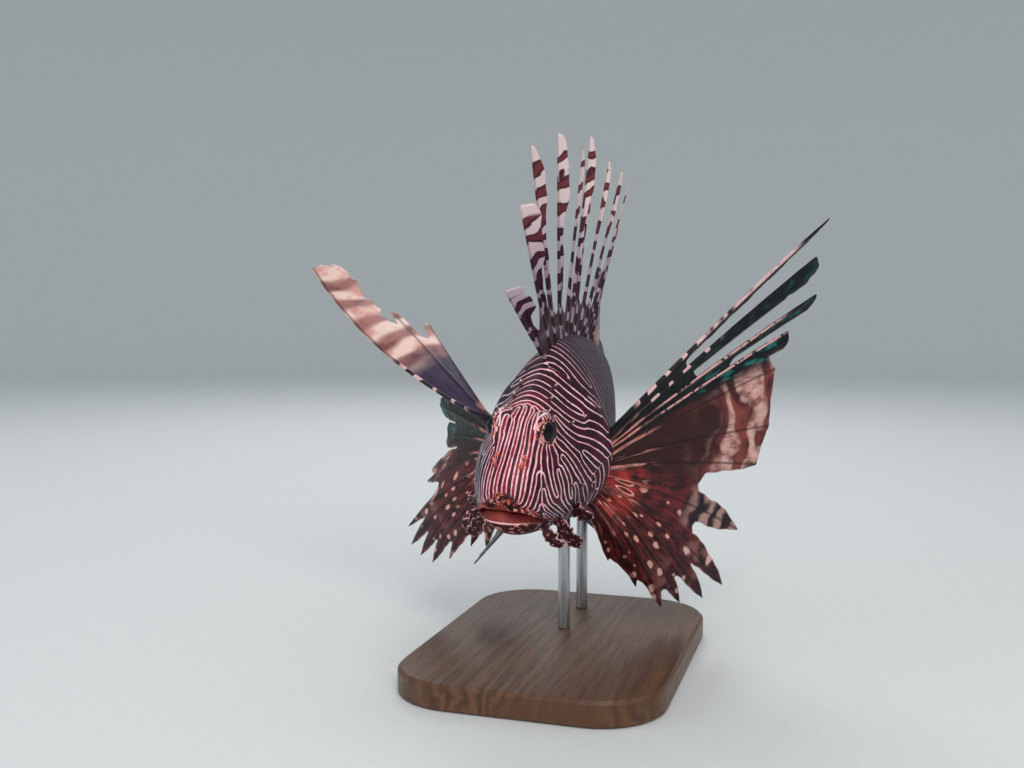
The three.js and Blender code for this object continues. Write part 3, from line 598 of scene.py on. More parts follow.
rng = np.random.default_rng(5)
field = rng.normal(0, 0.08, (ROWS, COLUMNS))
on_forehead = np.exp(-((along - 20) / 9) ** 2 - (skin[..., 0] / 9) ** 2) * (skin[..., 2] > -6)
field += 0.5 * on_forehead * np.cos(2 * math.pi * (skin[..., 0] - 0.4) / 3.4 + 0.9 * waver)
on_nape = np.exp(-((along - 47) / 9) ** 2 - (skin[..., 0] / 9) ** 2) * (skin[..., 2] > 0)
field += on_nape * np.cos(2 * math.pi * (along - 41) / 8.0)
for _ in range(14):
    field = np.tanh(comb(field) * 1.1)
field = comb(field)
field /= np.sqrt((field ** 2).mean())
print("the stripes grew; their mean is", round(float(field.mean()), 3))

# %% [markdown]
# The white lines lie along the borders of the grown bars, a fixed width whatever the spacing. So the grid
# keeps the distance in millimetres to the nearest border, and the material draws the line from that.

# %% Distance to the stripe borders
BORDER = 0.3                        # above zero, so that bars and the ground between them differ in width


def border_distance(values):
    step = 0.35
    slope_cross = (look_up(values, cross_row * step, cross_column * step)
                   - look_up(values, -cross_row * step, -cross_column * step)) / (2 * step)
    slope_along = (look_up(values, along_row * step, along_column * step)
                   - look_up(values, -along_row * step, -along_column * step)) / (2 * step)
    steep = np.sqrt(slope_cross ** 2 + slope_along ** 2 + (0.6 / spacing) ** 2)
    return np.clip((values - BORDER) / steep, -3, 3)


stripe_mm = border_distance(field)


# %% Building grid meshes
def mesh_piece(name, points, faces, material, attributes=None, smooth=True):
    """A mesh object that rides on the frame. Attributes are one number or three numbers a point."""
    mesh = bpy.data.meshes.new(name)
    mesh.from_pydata(np.asarray(points).tolist(), [], np.asarray(faces).tolist())
    for key, values in (attributes or {}).items():
        values = np.asarray(values, np.float32)
        if values.ndim == 1:
            layer = mesh.attributes.new(key, "FLOAT", "POINT")
            layer.data.foreach_set("value", values)
        else:
            layer = mesh.attributes.new(key, "FLOAT_VECTOR", "POINT")
            layer.data.foreach_set("vector", values.ravel())
    mesh.polygons.foreach_set("use_smooth", [smooth] * len(mesh.polygons))
    mesh.materials.append(material)
    mesh.validate()
    piece = bpy.data.objects.new(name, mesh)
    bpy.context.scene.collection.objects.link(piece)
    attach(piece, "root")
    return piece


def tube_faces(rows, columns):
    """Quads of a grid whose columns close into a ring."""
    r, c = np.mgrid[0:rows - 1, 0:columns]
    a = r * columns + c
    b = r * columns + (c + 1) % columns
    return np.stack([a, a + columns, b + columns, b], axis=-1).reshape(-1, 4)


# %% [markdown]
# ## Painted skin
#
# The cast is painted in thin coats and varnished, so it has the soft gloss of wet skin. The ground is dark
# maroon that turns wine red on the snout and slate on the lower cheeks. Towards the rear of the trunk and
# over the right side of the head it turns dark slate as painted shade, and on the trunk ground and lines are
# dimmed as painted shade too. The lines are pinkish white. Lips and chin are different: small bumps, orange
# red above, and netted in pink on dark maroon below. Painted shade darkens the mouth's lining deeper in, and
# the skin tucked in between lid and ball is painted nearly black as shade. Each point of the skin knows its
# distance to the mouth's edge and to the lids, so that paint can follow them.

# %% Skin material: bars and lines
skin_paint, tree, shader, add = new_material("painted_fish_skin_satin_varnish")
where = add("TexCoord")
tint = add("SeparateXYZ", Vector=add("Attribute", "tint", output="Vector"))
warmth, slate_and_shade, chin_share = tint.node.outputs
edges = add("SeparateXYZ", Vector=add("Attribute", "edges", output="Vector"))
lip_mm, lid_mm, streak_mm = edges.node.outputs
stripe = add("Attribute", "stripe_mm")
wobble = add("TexNoise", Vector=where, Scale=1 / (2.2 * MM))
wander = add("Math", "MULTIPLY_ADD", wobble, 0.5, -0.25)
stripe = add("Math", "MULTIPLY_ADD", wander, add("MapRange", slate_and_shade, 0.0, 0.6, 1.0, 0.3), stripe)
off_line = add("Math", "ABSOLUTE", stripe)
broken = add("TexNoise", Vector=where, Scale=1 / (9.0 * MM), Detail=4.0)
half_line = add("MapRange", broken, 0.25, 0.7, 0.23, 0.52)
half_line = add("Math", "MULTIPLY", half_line, add("MapRange", add("Attribute", "trunk_share"), 0.0, 1.0,
    1.0, 0.5))
line_share = add("MapRange", add("Math", "SUBTRACT", half_line, off_line), -0.12, 0.12)

blotch = add("TexNoise", Vector=where, Scale=1 / (14.0 * MM), Detail=4.0)
ground = add("Mix", add("MapRange", blotch, 0.35, 0.65), paint("#240817"), paint("#471026"))
inside = add("MapRange", stripe, -0.2, 0.4)
bar = add("Mix", warmth, paint("#2c0a1a"), paint("#8c1830"))
ground = add("Mix", inside, add("Mix", warmth, ground, paint("#4a0c20")), bar)
# Slate: on the lower head, and as painted shade towards the trunk's rear and on the head's right side, the
# ground turns dark slate and the lines lavender grey
ground = add("Mix", slate_and_shade, ground, paint("#1c1529"))
line_tone = add("Mix", add("MapRange", wobble, 0.4, 0.65), paint("#fbd0d8"), paint("#ec9aa6"))
line_tone = add("Mix", slate_and_shade, line_tone, paint("#c3bbd0"))
trunk_share = add("Attribute", "trunk_share")
# Painted shade: the ground and the lines are dimmed towards the rear of the trunk
ground = add("Mix", add("Math", "MULTIPLY", trunk_share, 0.65), ground, paint("#281d33"))
line_tone = add("Mix", add("Math", "MULTIPLY", trunk_share, 0.7), line_tone, paint("#a593a9"))
colour = add("Mix", line_share, ground, line_tone)

# %% Skin material: lips, chin, lids and mouth
bump = add("TexVoronoi", Vector=where, Scale=1 / (2.6 * MM), Randomness=0.85)
bead = add("TexVoronoi", Vector=where, Scale=1 / (3.4 * MM), Randomness=0.6)
upper_tone = add("Mix", add("MapRange", bump, 0.5, 0.3), paint("#2e0a14"), paint("#a9453c"))
upper_tone = add("Mix", add("MapRange", wobble, 0.57, 0.63), upper_tone, paint("#e3988c"))
bead_share = add("MapRange", bead, 0.42, 0.3)
bead_share = add("Math", "MULTIPLY", bead_share, add("MapRange", broken, 0.34, 0.48))
bead_tone = add("Mix", add("MapRange", bead, 0.1, 0.25), paint("#9c3a40"), paint("#e39a9c"))
lower_tone = add("Mix", bead_share, add("Mix", blotch, paint("#22060f"), paint("#4e121c")), bead_tone)
chin_tone = add("Mix", add("MapRange", lip_mm, 15.0, 20.0), lower_tone, add("Mix", add("Math", "MULTIPLY",
    line_share, 0.6), paint("#260a16"), line_tone))
edge_line = add("MapRange", add("Math", "ABSOLUTE", add("Math", "SUBTRACT", lip_mm, 0.5)), 0.36, 0.16)
chin_tone = add("Mix", edge_line, chin_tone, paint("#f4c0b8"))
upper_lip = add("Math", "MULTIPLY", add("MapRange", lip_mm, 6.4, 4.4), add("Math", "SUBTRACT", 1.0,
    chin_share))
colour = add("Mix", upper_lip, colour, upper_tone)
colour = add("Mix", chin_share, colour, chin_tone)
mouth_tone_and_depth_shade = add("Mix", add("MapRange", broken, 0.3, 0.7), paint("#84302c"), paint("#a64a42"))
# Painted shade: the lining is darker deeper in the mouth
mouth_tone_and_depth_shade = add("Mix", add("MapRange", lip_mm, -3.4, -5.0), mouth_tone_and_depth_shade, paint("#6a1f1c"))
colour = add("Mix", add("MapRange", lip_mm, 0.3, -0.3), colour, mouth_tone_and_depth_shade)

rim_wave = add("MapRange", wobble, 0.47, 0.53)
rim_tone = add("Mix", rim_wave, paint("#b8452f"), paint("#f0bdb2"))
rim_share = add("MapRange", add("Math", "ABSOLUTE", add("Math", "SUBTRACT", lid_mm, 1.1)), 0.75, 0.45)
rim_share = add("Math", "MULTIPLY", rim_share, add("MapRange", bump, 0.62, 0.5))
brow = add("MapRange", add("Attribute", "brow_mm"), 0.42, 0.18)
colour = add("Mix", add("Math", "MULTIPLY", brow, add("MapRange", broken, 0.3, 0.42)), colour,
    paint("#f6d3d8"))
colour = add("Mix", rim_share, colour, rim_tone)
# Painted shade: the skin tucked in between lid and ball is nearly black
colour = add("Mix", add("MapRange", lid_mm, 0.15, -0.2), colour, paint("#16070d"))
streak = add("Math", "MULTIPLY", add("MapRange", streak_mm, 1.2, 0.5), add("MapRange", wobble, 0.42, 0.5))
colour = add("Mix", add("Math", "MULTIPLY", streak, 0.85), colour, paint("#c8463c"))
tree.links.new(colour, shader.inputs["Base Color"])

# %% Skin material: gloss and relief
grain = add("TexNoise", Vector=where, Scale=1 / (0.9 * MM), Detail=2.0)
beads = add("Math", "MULTIPLY", add("MapRange", bump, 0.6, 0.1), add("Math", "MAXIMUM", upper_lip,
    chin_share))
height = add("Math", "MULTIPLY_ADD", grain, 0.5, add("Math", "MULTIPLY", line_share, 0.4))
height = add("Math", "MULTIPLY_ADD", beads, 2.2, height)
relief = add("Bump", Strength=0.35, Distance=0.35 * MM, Height=height)
tree.links.new(relief, shader.inputs["Normal"])
gloss = add("MapRange", grain, 0.3, 0.7, 0.46, 0.6)
tree.links.new(gloss, shader.inputs["Roughness"])
shader.inputs["IOR"].default_value = 1.4
shader.inputs["Specular IOR Level"].default_value = 0.32
shader.inputs["Coat Weight"].default_value = 0.06
shader.inputs["Coat Roughness"].default_value = 0.2

# %% The skin itself
head_part = along < gill_edge(around)[None, :] + 1
warm_share = smooth_step(22 - np.abs(skin[..., 0]), 6, 18) * smooth_step(52 - along, 0, 26)
warm_share = warm_share * (skin[..., 2] > -12)
# Slate on the lower head, and painted shade: slate towards the rear of the trunk and over the head's right
# side
slate_and_shade_share = smooth_step(along, 75, 150) * 0.5
slate_and_shade_share = np.maximum(slate_and_shade_share, 0.75 * smooth_step(-skin[..., 0], 8, 16) * head_part)
slate_and_shade_share = np.maximum(slate_and_shade_share, 0.4 * smooth_step(-skin[..., 2], 6, 20) * head_part)
STREAK_FROM = np.array([5.9, 13.6, 11.2])
STREAK_TO = np.array([7.6, 8.2, 3.6])
streak_run = STREAK_TO - STREAK_FROM
share = np.clip((skin - STREAK_FROM) @ streak_run / (streak_run @ streak_run), 0, 1)
streak_distance = np.linalg.norm(skin - STREAK_FROM - share[..., None] * streak_run, axis=2)
tail_centre = np.tile(skin[-1].mean(axis=0), (1, COLUMNS, 1))
skin_points = np.concatenate([skin, tail_centre])


def with_end(*layers):
    """Stacks layers for the material, with the last row doubled for the closed end."""
    stack = np.stack([np.broadcast_to(layer, skin.shape[:2]) for layer in layers], axis=-1)
    return np.concatenate([stack, stack[-1:]]).reshape(-1, len(layers)).squeeze()


skin_piece = mesh_piece(
    "skin", to_scene(skin_points.reshape(-1, 3), swings=True), tube_faces(ROWS + 1, COLUMNS), skin_paint,
    {"stripe_mm": with_end(stripe_mm), "tint": with_end(warm_share, slate_and_shade_share, chin),
     "edges": with_end(lip_distance, lid_distance, streak_distance), "brow_mm": with_end(brow_distance),
     # trunk_share thins the lines and dims the trunk's rear as painted shade
     "trunk_share": with_end(smooth_step(along, 62, 98))})
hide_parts("head", "torso", "tail_stalk")
print("the skin has", len(skin_piece.data.polygons), "faces")

# %% [markdown]
# ## Eyes
#
# The eye is a glass eye: a black pupil, a thin ring of iris mottled orange and pinkish white, and a clear
# dome that gives a sharp highlight. Its ball turns with the lids, so the pupil looks sideways.

# %% Eye material and balls
glass_eye, tree, shader, add = new_material("painted_glass_eye")
angle = add("Attribute", "from_axis")
where = add("TexCoord")
iris_fleck = add("TexNoise", Vector=where, Scale=1 / (1.1 * MM), Detail=2.0)
iris = add("Mix", add("MapRange", iris_fleck, 0.42, 0.56), paint("#4a0f16"), paint("#f0a58c"))
outer = add("Mix", add("MapRange", iris_fleck, 0.4, 0.6), paint("#3a1426"), paint("#e9dbe2"))
colour = add("Mix", add("MapRange", angle, 1.0, 1.04), iris, outer)
colour = add("Mix", add("MapRange", angle, 0.80, 0.84), paint("#050208"), colour)
tree.links.new(colour, shader.inputs["Base Color"])
shader.inputs["Roughness"].default_value = 0.25
shader.inputs["Specular IOR Level"].default_value = 0.1
shader.inputs["Coat Weight"].default_value = 0.3
shader.inputs["Coat Roughness"].default_value = 0.03
shader.inputs["IOR"].default_value = 1.5


def build_eye(name, hand):
    rings, sides = 48, 64
    mirror = np.array([hand, 1, 1])
    axis = LID_OUTWARD * mirror / np.linalg.norm(LID_OUTWARD)
    first = np.cross(axis, [0, 0, 1])
    first /= np.linalg.norm(first)
    second = np.cross(axis, first)
    polar = np.linspace(0, math.pi, rings + 1)[:, None]
    turn = np.linspace(0, 2 * math.pi, sides, endpoint=False)[None, :]
    dome = EYE_RADIUS - 0.25 + 0.25 * np.exp(-(polar / 0.7) ** 2)
    ball = (np.cos(polar)[..., None] * axis + (np.sin(polar) * np.cos(turn))[..., None] * first
            + (np.sin(polar) * np.sin(turn))[..., None] * second) * dome[..., None]
    points = (ball + EYE_PLACE * mirror).reshape(-1, 3)
    from_axis = np.repeat(polar, sides, axis=1).ravel()
    piece = mesh_piece(name, to_scene(points), tube_faces(rings + 1, sides), glass_eye,
                       {"from_axis": from_axis})
    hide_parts("eye_left" if hand > 0 else "eye_right")
    return piece


build_eye("glass_eye_left", 1)
build_eye("glass_eye_right", -1)
print("two glass eyes of", 2 * EYE_RADIUS, "mm")

# %% [markdown]
# ## Fins: rays and film
#
# A fin is a fan of rays with a film of skin between them. The film is made as one fine sheet laid over
# the rays, and a number on each of its points says how far it lies inside the fin's outline. The sheet is
# trimmed where that number turns negative. That gives clean notches between the fingers however coarse
# the sheet is. Then it gets its thickness: thin film, thicker rays, thinner again at the margin.

# %% Trimming and thickening a sheet
def trim(points, faces, inside, layers):
    """Cuts the triangles where inside crosses zero, and keeps the positive part."""
    is_in = inside > 0
    count = is_in[faces].sum(axis=1)
    whole = faces[count == 3]
    table = [points, inside[:, None], layers]
    stack = np.concatenate(table, axis=1)
    cut = faces[(count == 1) | (count == 2)]
    odd = np.where(is_in[cut].sum(axis=1) == 1, is_in[cut].argmax(axis=1), (~is_in[cut]).argmax(axis=1))
    rows = np.arange(len(cut))
    corner, after, last = cut[rows, odd], cut[rows, (odd + 1) % 3], cut[rows, (odd + 2) % 3]
    pairs = np.concatenate([np.stack([corner, after], 1), np.stack([corner, last], 1)])
    pairs.sort(axis=1)
    unique, which = np.unique(pairs, axis=0, return_inverse=True)
    which = which.ravel()
    a, b = unique[:, 0], unique[:, 1]
    t = (inside[a] / (inside[a] - inside[b]))[:, None]
    added = stack[a] * (1 - t) + stack[b] * t
    new_after = len(points) + which[:len(cut)]
    new_last = len(points) + which[len(cut):]
    single = is_in[corner]
    tips = np.stack([corner, new_after, new_last], 1)[single]
    keep = ~single
    first = np.stack([new_after, after, last], 1)[keep]
    second = np.stack([new_after, last, new_last], 1)[keep]
    faces = np.concatenate([whole, tips, first, second])
    stack = np.concatenate([stack, added])
    used, index = np.unique(faces, return_inverse=True)
    stack, faces = stack[used], index.reshape(-1, 3)
    return stack[:, :3], faces, stack[:, 3], stack[:, 4:]


def thicken(points, faces, half):
    """Both faces of a sheet and the walls along its open edges."""
    corner = points[faces]
    face_normal = np.cross(corner[:, 1] - corner[:, 0], corner[:, 2] - corner[:, 0])
    normal = np.zeros_like(points)
    for k in range(3):
        np.add.at(normal, faces[:, k], face_normal)
    normal /= np.linalg.norm(normal, axis=1, keepdims=True) + 1e-12
    count = len(points)
    edges = np.concatenate([faces[:, [0, 1]], faces[:, [1, 2]], faces[:, [2, 0]]])
    code = edges.min(axis=1).astype(np.int64) * count + edges.max(axis=1)
    _, first, times = np.unique(code, return_index=True, return_counts=True)
    rim = edges[first[times == 1]]
    walls = np.concatenate([np.stack([rim[:, 0], rim[:, 0] + count, rim[:, 1] + count], 1),
                            np.stack([rim[:, 0], rim[:, 1] + count, rim[:, 1]], 1)])
    both = np.concatenate([points + normal * half[:, None], points - normal * half[:, None]])
    return both, np.concatenate([faces, faces[:, ::-1] + count, walls])


def grid_triangles(rows, columns):
    r, c = np.mgrid[0:rows - 1, 0:columns - 1]
    a = (r * columns + c).ravel()
    quads = np.stack([a, a + columns, a + columns + 1, a + 1], axis=1)
    return np.concatenate([quads[:, [0, 1, 2]], quads[:, [0, 2, 3]]])


# %% A ray and its vanes
def make_ray(foot, way, length, bow, front, rear, web, **more):
    """A ray's line, the vanes before and behind it by its share, and how far up the web reaches."""
    return {"foot": np.array(foot, float), "way": np.array(way, float), "length": length,
            "bow": np.array(bow, float), "front": front, "rear": rear, "web": web, **more}


def line_at(ray, distance):
    """Points along a ray at distances from its foot. Past the tip they go straight on, or rise."""
    share = distance / ray["length"]
    within = np.minimum(share, 1)[:, None]
    past = np.maximum(share - 1, 0)[:, None]
    way, bow = ray["way"], ray["bow"]
    beyond = (way - bow) * past + np.array([0, 0, ray.get("rise", 0.0)]) * past ** 2
    return ray["foot"] + ray["length"] * (way * within + bow * within * (1 - within) + beyond)


def leaf(width, peak=0.6, end=0.0, point=0.5):
    """A vane's width along its ray: widest at the peak, then drawn in to its end, more pointed near 1."""
    def width_at(share):
        rise = 0.45 + 0.55 * np.sin(np.clip(share / peak, 0, 1) * math.pi / 2)
        late = np.clip((share - peak) / (1 - peak), 0, 1)
        fall = end + (1 - end) * np.maximum(1 - late ** 2, 0) ** point
        return np.maximum(width * rise * fall, 0.3)
    return width_at


def vane_inside(ray, number, key, off, distance):
    """How far inside its vane a point lies that is off to the side of a ray."""
    share = distance / ray["length"]
    ragged = 1 + 0.07 * np.sin(distance / 3.9 + 1.7 * number) + 0.04 * np.sin(distance / 1.5 + 2.9 * number)
    cut = ray.get("cut", 0.0) * np.maximum(off - 2.5, 0) + ray.get("torn", 0.0) * np.sin(off * 0.9 + number)
    return np.minimum(ray[key](share) * ragged - off, ray["length"] - distance - cut)


def fin_sheet(rays, step=1.2, columns=14, notch=0.35, billow=0.05, root_half=0.0, ridge=None):
    """A fin's two faces, with ray number, distance along and off the ray, and distance to the margin."""
    reach = max(ray["length"] for ray in rays) + 2 * step
    distance = np.arange(0, reach, step)
    rows = len(distance)
    pieces = []

    def column(points, inside, off_ray, number):
        layer = np.stack([np.full(rows, number), distance, off_ray], axis=1)
        pieces.append((points, inside, layer))

    def free_edge(ray, neighbour, key, number, side):
        towards = line_at(ray, distance) - line_at(neighbour, distance)
        towards /= np.linalg.norm(towards, axis=1, keepdims=True)
        widest = ray[key](np.linspace(0, 1, 50)).max() * 1.15
        steps = np.linspace(0, 1, 8)[1:]
        for share in (steps[::-1] if side < 0 else steps):
            off = share * widest
            inside = vane_inside(ray, number, key, off, distance)
            column(line_at(ray, distance) + towards * off, inside, np.full(rows, off),
                number + side * 0.3 * share)

    free_edge(rays[0], rays[1], "front", 0, -1)
    for i in range(len(rays) - 1):
        here, there = rays[i], rays[i + 1]
        start = line_at(here, distance)
        span = line_at(there, distance) - start
        apart = np.linalg.norm(span, axis=1)
        along_ray = np.gradient(start, axis=0)
        lift = np.cross(span, along_ray)
        lift /= np.linalg.norm(lift, axis=1, keepdims=True) + 1e-9
        web_here = here["length"] * here["web"]
        web_there = there["length"] * here.get("web_next", here["web"])
        room = here.get("room", 0.47)
        for q in range(columns):
            u = q / columns
            f = 0.4 * u + 0.3 * (1 - math.cos(math.pi * u))
            dip = here.get("notch", notch) * apart * (1 - abs(2 * f - 1)) ** 0.8
            web = web_here * (1 - f) + web_there * f - np.minimum(dip, 9) - distance
            rear = np.minimum(vane_inside(here, i, "rear", f * apart, distance), (room - f) * apart)
            front = vane_inside(there, i + 1, "front", (1 - f) * apart, distance)
            front = np.minimum(front, (f - room - 0.06) * apart)
            inside = np.maximum(web, np.maximum(rear, front))
            sag = billow * apart * math.sin(math.pi * f) * smooth_step(distance, 0, 30)
            column(start + span * f + lift * sag[:, None], inside, min(f, 1 - f) * apart, i + f)
    last = rays[-1]
    inside = np.minimum(last["rear"](distance / last["length"]), last["length"] - distance)
    column(line_at(last, distance), inside, np.zeros(rows), len(rays) - 1)
    free_edge(last, rays[-2], "rear", len(rays) - 1, 1)

    points = np.stack([p for p, _, _ in pieces], axis=1).reshape(-1, 3)
    inside = np.stack([m for _, m, _ in pieces], axis=1).ravel()
    layers = np.stack([a for _, _, a in pieces], axis=1).reshape(-1, 3)
    points, faces, inside, layers = trim(points, grid_triangles(rows, len(pieces)), inside, layers)
    nearest = np.clip(np.round(layers[:, 0]), 0, len(rays) - 1).astype(int)
    share = np.clip(layers[:, 1] / np.array([ray["length"] for ray in rays])[nearest], 0, 1)
    half = 0.12 + 0.14 * smooth_step(inside, 0, 0.8) + root_half * np.maximum(0, 1 - share * 6)
    half += ridge(share) * np.exp(-(layers[:, 2] / 0.7) ** 2) * smooth_step(inside, -0.2, 0.5)
    both, faces = thicken(points, faces, half)
    return both, faces, np.concatenate([layers, layers]), np.concatenate([inside, inside])


# %% [markdown]
# ## Film and rays in paint
#
# Fin paint needs to know where it is on the fin, so each point carries the number of its ray, its distance
# along that ray and its distance from the ray, in millimetres. Four looks share the pectoral fins: dark
# blue-black film with teal streaks between the long free rays, a brown panel with wavy cream bands, a pale
# blade with brown bands, and a maroon fan whose rays carry pale spots. On the right fin the dark film is
# painted shade over the middle rays. The left and the right fin mix them differently.

# %% Pectoral paint
def between_rays(add, ray_number, first, last, soft=0.5):
    """One between two ray numbers, with soft edges."""
    rise = add("MapRange", ray_number, first - soft, first + soft)
    return add("Math", "MULTIPLY", rise, add("MapRange", ray_number, last - soft, last + soft, 1.0, 0.0))


def bent_waves(add, run, bend, period_mm, bend_mm, low, high):
    """Bands across the rays, period_mm apart and bent by noise. One on the band, zero off it."""
    bent = add("Math", "MULTIPLY_ADD", bend, bend_mm, run)
    return add("MapRange", add("Math", "SINE", add("Math", "MULTIPLY", bent, 2 * math.pi / period_mm)), low,
        high)


def pectoral_finish(name, dark_film_and_shade, panel, blade, finger, fan_from, base):
    """The dark film, panel, blade, finger and base are each a first and a last ray, or None. On the right fin
    the dark film is painted shade.
    """
    material, tree, shader, add = new_material(name)
    parts = add("SeparateXYZ", Vector=add("Attribute", "fin", output="Vector"))
    ray_number, run, off = parts.node.outputs
    where = add("TexCoord")
    cloud = add("TexNoise", Vector=where, Scale=1 / (12.0 * MM), Detail=2.0)
    fine = add("TexNoise", Vector=where, Scale=1 / (2.5 * MM))
    stretched = add("CombineXYZ", X=add("Math", "MULTIPLY", ray_number, 2.2), Y=add("Math", "MULTIPLY", run,
        1 / 22.0))
    streaks = add("TexNoise", Vector=stretched, Scale=2.0, Detail=4.0)

    drift = add("TexNoise", Vector=where, Scale=1 / (26.0 * MM), Detail=1.0)

    # The lower fan: maroon, darker towards the tips, with small pale spots drawn out along the rays
    fan = add("Mix", add("MapRange", streaks, 0.38, 0.62), paint("#2a0a12"), paint("#6b2227"))
    fan = add("Mix", add("Math", "MULTIPLY", add("MapRange", run, 60, 95), 0.6), fan, paint("#24121f"))
    patch = add("Math", "MULTIPLY", add("MapRange", cloud, 0.5, 0.64), add("MapRange", run, 55, 75))
    fan = add("Mix", add("Math", "MULTIPLY", patch, 0.7), fan, paint("#96605a"))
    cells = add("CombineXYZ", X=add("Math", "MULTIPLY_ADD", fine, 0.25, ray_number), Y=add("Math",
        "MULTIPLY", run, 1 / 13.0))
    spots = add("TexVoronoi", voronoi_dimensions="2D", Vector=cells, Scale=1.0, Randomness=0.8)
    spot_size = add("MapRange", cloud, 0.36, 0.6, 0.07, 0.2)
    spot = add("MapRange", add("Math", "SUBTRACT", spot_size, spots), -0.04, 0.06)
    spot = add("Math", "MULTIPLY", spot, add("MapRange", run, 16, 24))
    spot_tone = add("Mix", add("MapRange", run, 35, 70), paint("#f4aa98"), paint("#e0b2aa"))
    colour = add("Mix", add("Math", "MULTIPLY", spot, add("MapRange", ray_number, fan_from - 0.3,
        fan_from + 0.3)), fan, spot_tone)

    # Dark film: blue black, with teal drawn out along the rays. On the right fin it is painted shade over the
    # middle rays, which lie behind the blade and the cheek
    teal = add("Math", "MULTIPLY", add("MapRange", streaks, 0.5, 0.64), add("MapRange", run, 50, 75))
    teal = add("Math", "MULTIPLY", teal, add("MapRange", ray_number, 1.7, 2.6, 0.25, 0.9))
    dark_film_and_shade_tone = add("Mix", teal, add("Mix", cloud, paint("#04060b"), paint("#0c1418")), paint("#13706a"))

    # Brown panel: dark at its root, with soft wavy cream bands towards its edge
    outer = add("Math", "MULTIPLY_ADD", drift, 60, run)
    panel_ground = add("Mix", streaks, paint("#16080b"), paint("#451a1b"))
    panel_outer = add("Mix", add("MapRange", cloud, 0.36, 0.62), paint("#451a20"), paint("#85403a"))
    panel_ground = add("Mix", add("MapRange", outer, 78, 112), panel_ground, panel_outer)
    band_run = add("Math", "MULTIPLY_ADD", cloud, 16, run)
    panel_band = add("Math", "MULTIPLY", bent_waves(add, band_run, drift, 22, 62, -0.3, 1.0),
        add("MapRange", outer, 82, 112))
    panel_band = add("Math", "MULTIPLY", panel_band, add("MapRange", streaks, 0.36, 0.5, 0.35, 1.0))
    panel_pale = add("Mix", add("MapRange", streaks, 0.35, 0.65), paint("#bd8880"), paint("#dfb3a9"))
    panel_tone = add("Mix", panel_band, panel_ground, panel_pale)

    # Pale blade: salmon, crossed by soft brown bands that fade into each other
    blade_wave = bent_waves(add, run, drift, 20, 22, -0.7, 0.95)
    blade_band = add("Math", "MULTIPLY", blade_wave, add("MapRange", cloud, 0.3, 0.6, 0.55, 1.0))
    blade_pale = add("Mix", add("MapRange", cloud, 0.38, 0.6), paint("#cf8f86"), paint("#eccabf"))
    blade_tone = add("Mix", blade_band, blade_pale, add("Mix", streaks, paint("#5a262c"), paint("#8d4c46")))
    blade_root = add("Mix", streaks, paint("#161124"), paint("#453655"))
    blade_tone = add("Mix", add("MapRange", outer, 88, 112), blade_root, blade_tone)
    finger_tone = add("Mix", bent_waves(add, run, cloud, 13, 22, -0.9, 1.0), paint("#24121f"),
        paint("#b38a84"))
    for zone, tone in ((dark_film_and_shade, dark_film_and_shade_tone), (panel, panel_tone), (finger, finger_tone), (blade, blade_tone)):
        if zone:
            share = between_rays(add, ray_number, *zone)
            if tone is finger_tone:
                share = add("Math", "MULTIPLY", share, add("MapRange", run, 52, 66))
            colour = add("Mix", share, colour, tone)

    # Rays are dark lines in the film. The leading ones have white squares near their roots
    colour = add("Mix", add("Math", "MULTIPLY", add("MapRange", off, 0.9, 0.45), 0.6), colour,
        paint("#1c070c"))
    squares = bent_waves(add, run, cloud, 12.5, 14.0, 0.4, 0.6)
    squares = add("Math", "MULTIPLY", squares, add("Math", "MULTIPLY", add("MapRange", run, 20, 26),
        add("MapRange", run, 88, 70)))
    if not blade:
        # The first ray is pale along its middle and dark again at its tip
        long_pale = add("Math", "MULTIPLY", add("MapRange", run, 66, 84), add("MapRange", run, 156, 140))
        long_pale = add("Math", "MULTIPLY", long_pale, add("MapRange", ray_number, 0.6, 0.4))
        long_pale = add("Math", "MULTIPLY", long_pale, add("MapRange", cloud, 0.36, 0.5))
        squares = add("Math", "MAXIMUM", squares, long_pale)
    square_tone = add("Mix", squares, paint("#150a12"), add("Mix", fine, paint("#d98f92"),
        paint("#f2dadb")))
    lead = add("Math", "MULTIPLY", add("MapRange", ray_number, 1.6, 1.3), add("MapRange", off, 1.15, 0.75))
    if blade:
        lead = add("Math", "MULTIPLY", lead, add("MapRange", run, 88, 66))
        lead = add("Math", "MULTIPLY", lead, add("MapRange", ray_number, 0.7, 0.4))
    colour = add("Mix", lead, colour, square_tone)
    if not blade:
        # The next two rays carry a thin pale line instead
        thin_line = add("Math", "MULTIPLY", between_rays(add, ray_number, 1.75, 3.25, 0.1), add("MapRange",
            off, 0.8, 0.5))
        thin_line = add("Math", "MULTIPLY", thin_line, add("Math", "MULTIPLY", add("MapRange", run, 30, 40),
            add("MapRange", run, 138, 118)))
        thin_line = add("Math", "MULTIPLY", thin_line, add("MapRange", fine, 0.4, 0.5))
        colour = add("Mix", thin_line, colour, paint("#e3a9a8"))

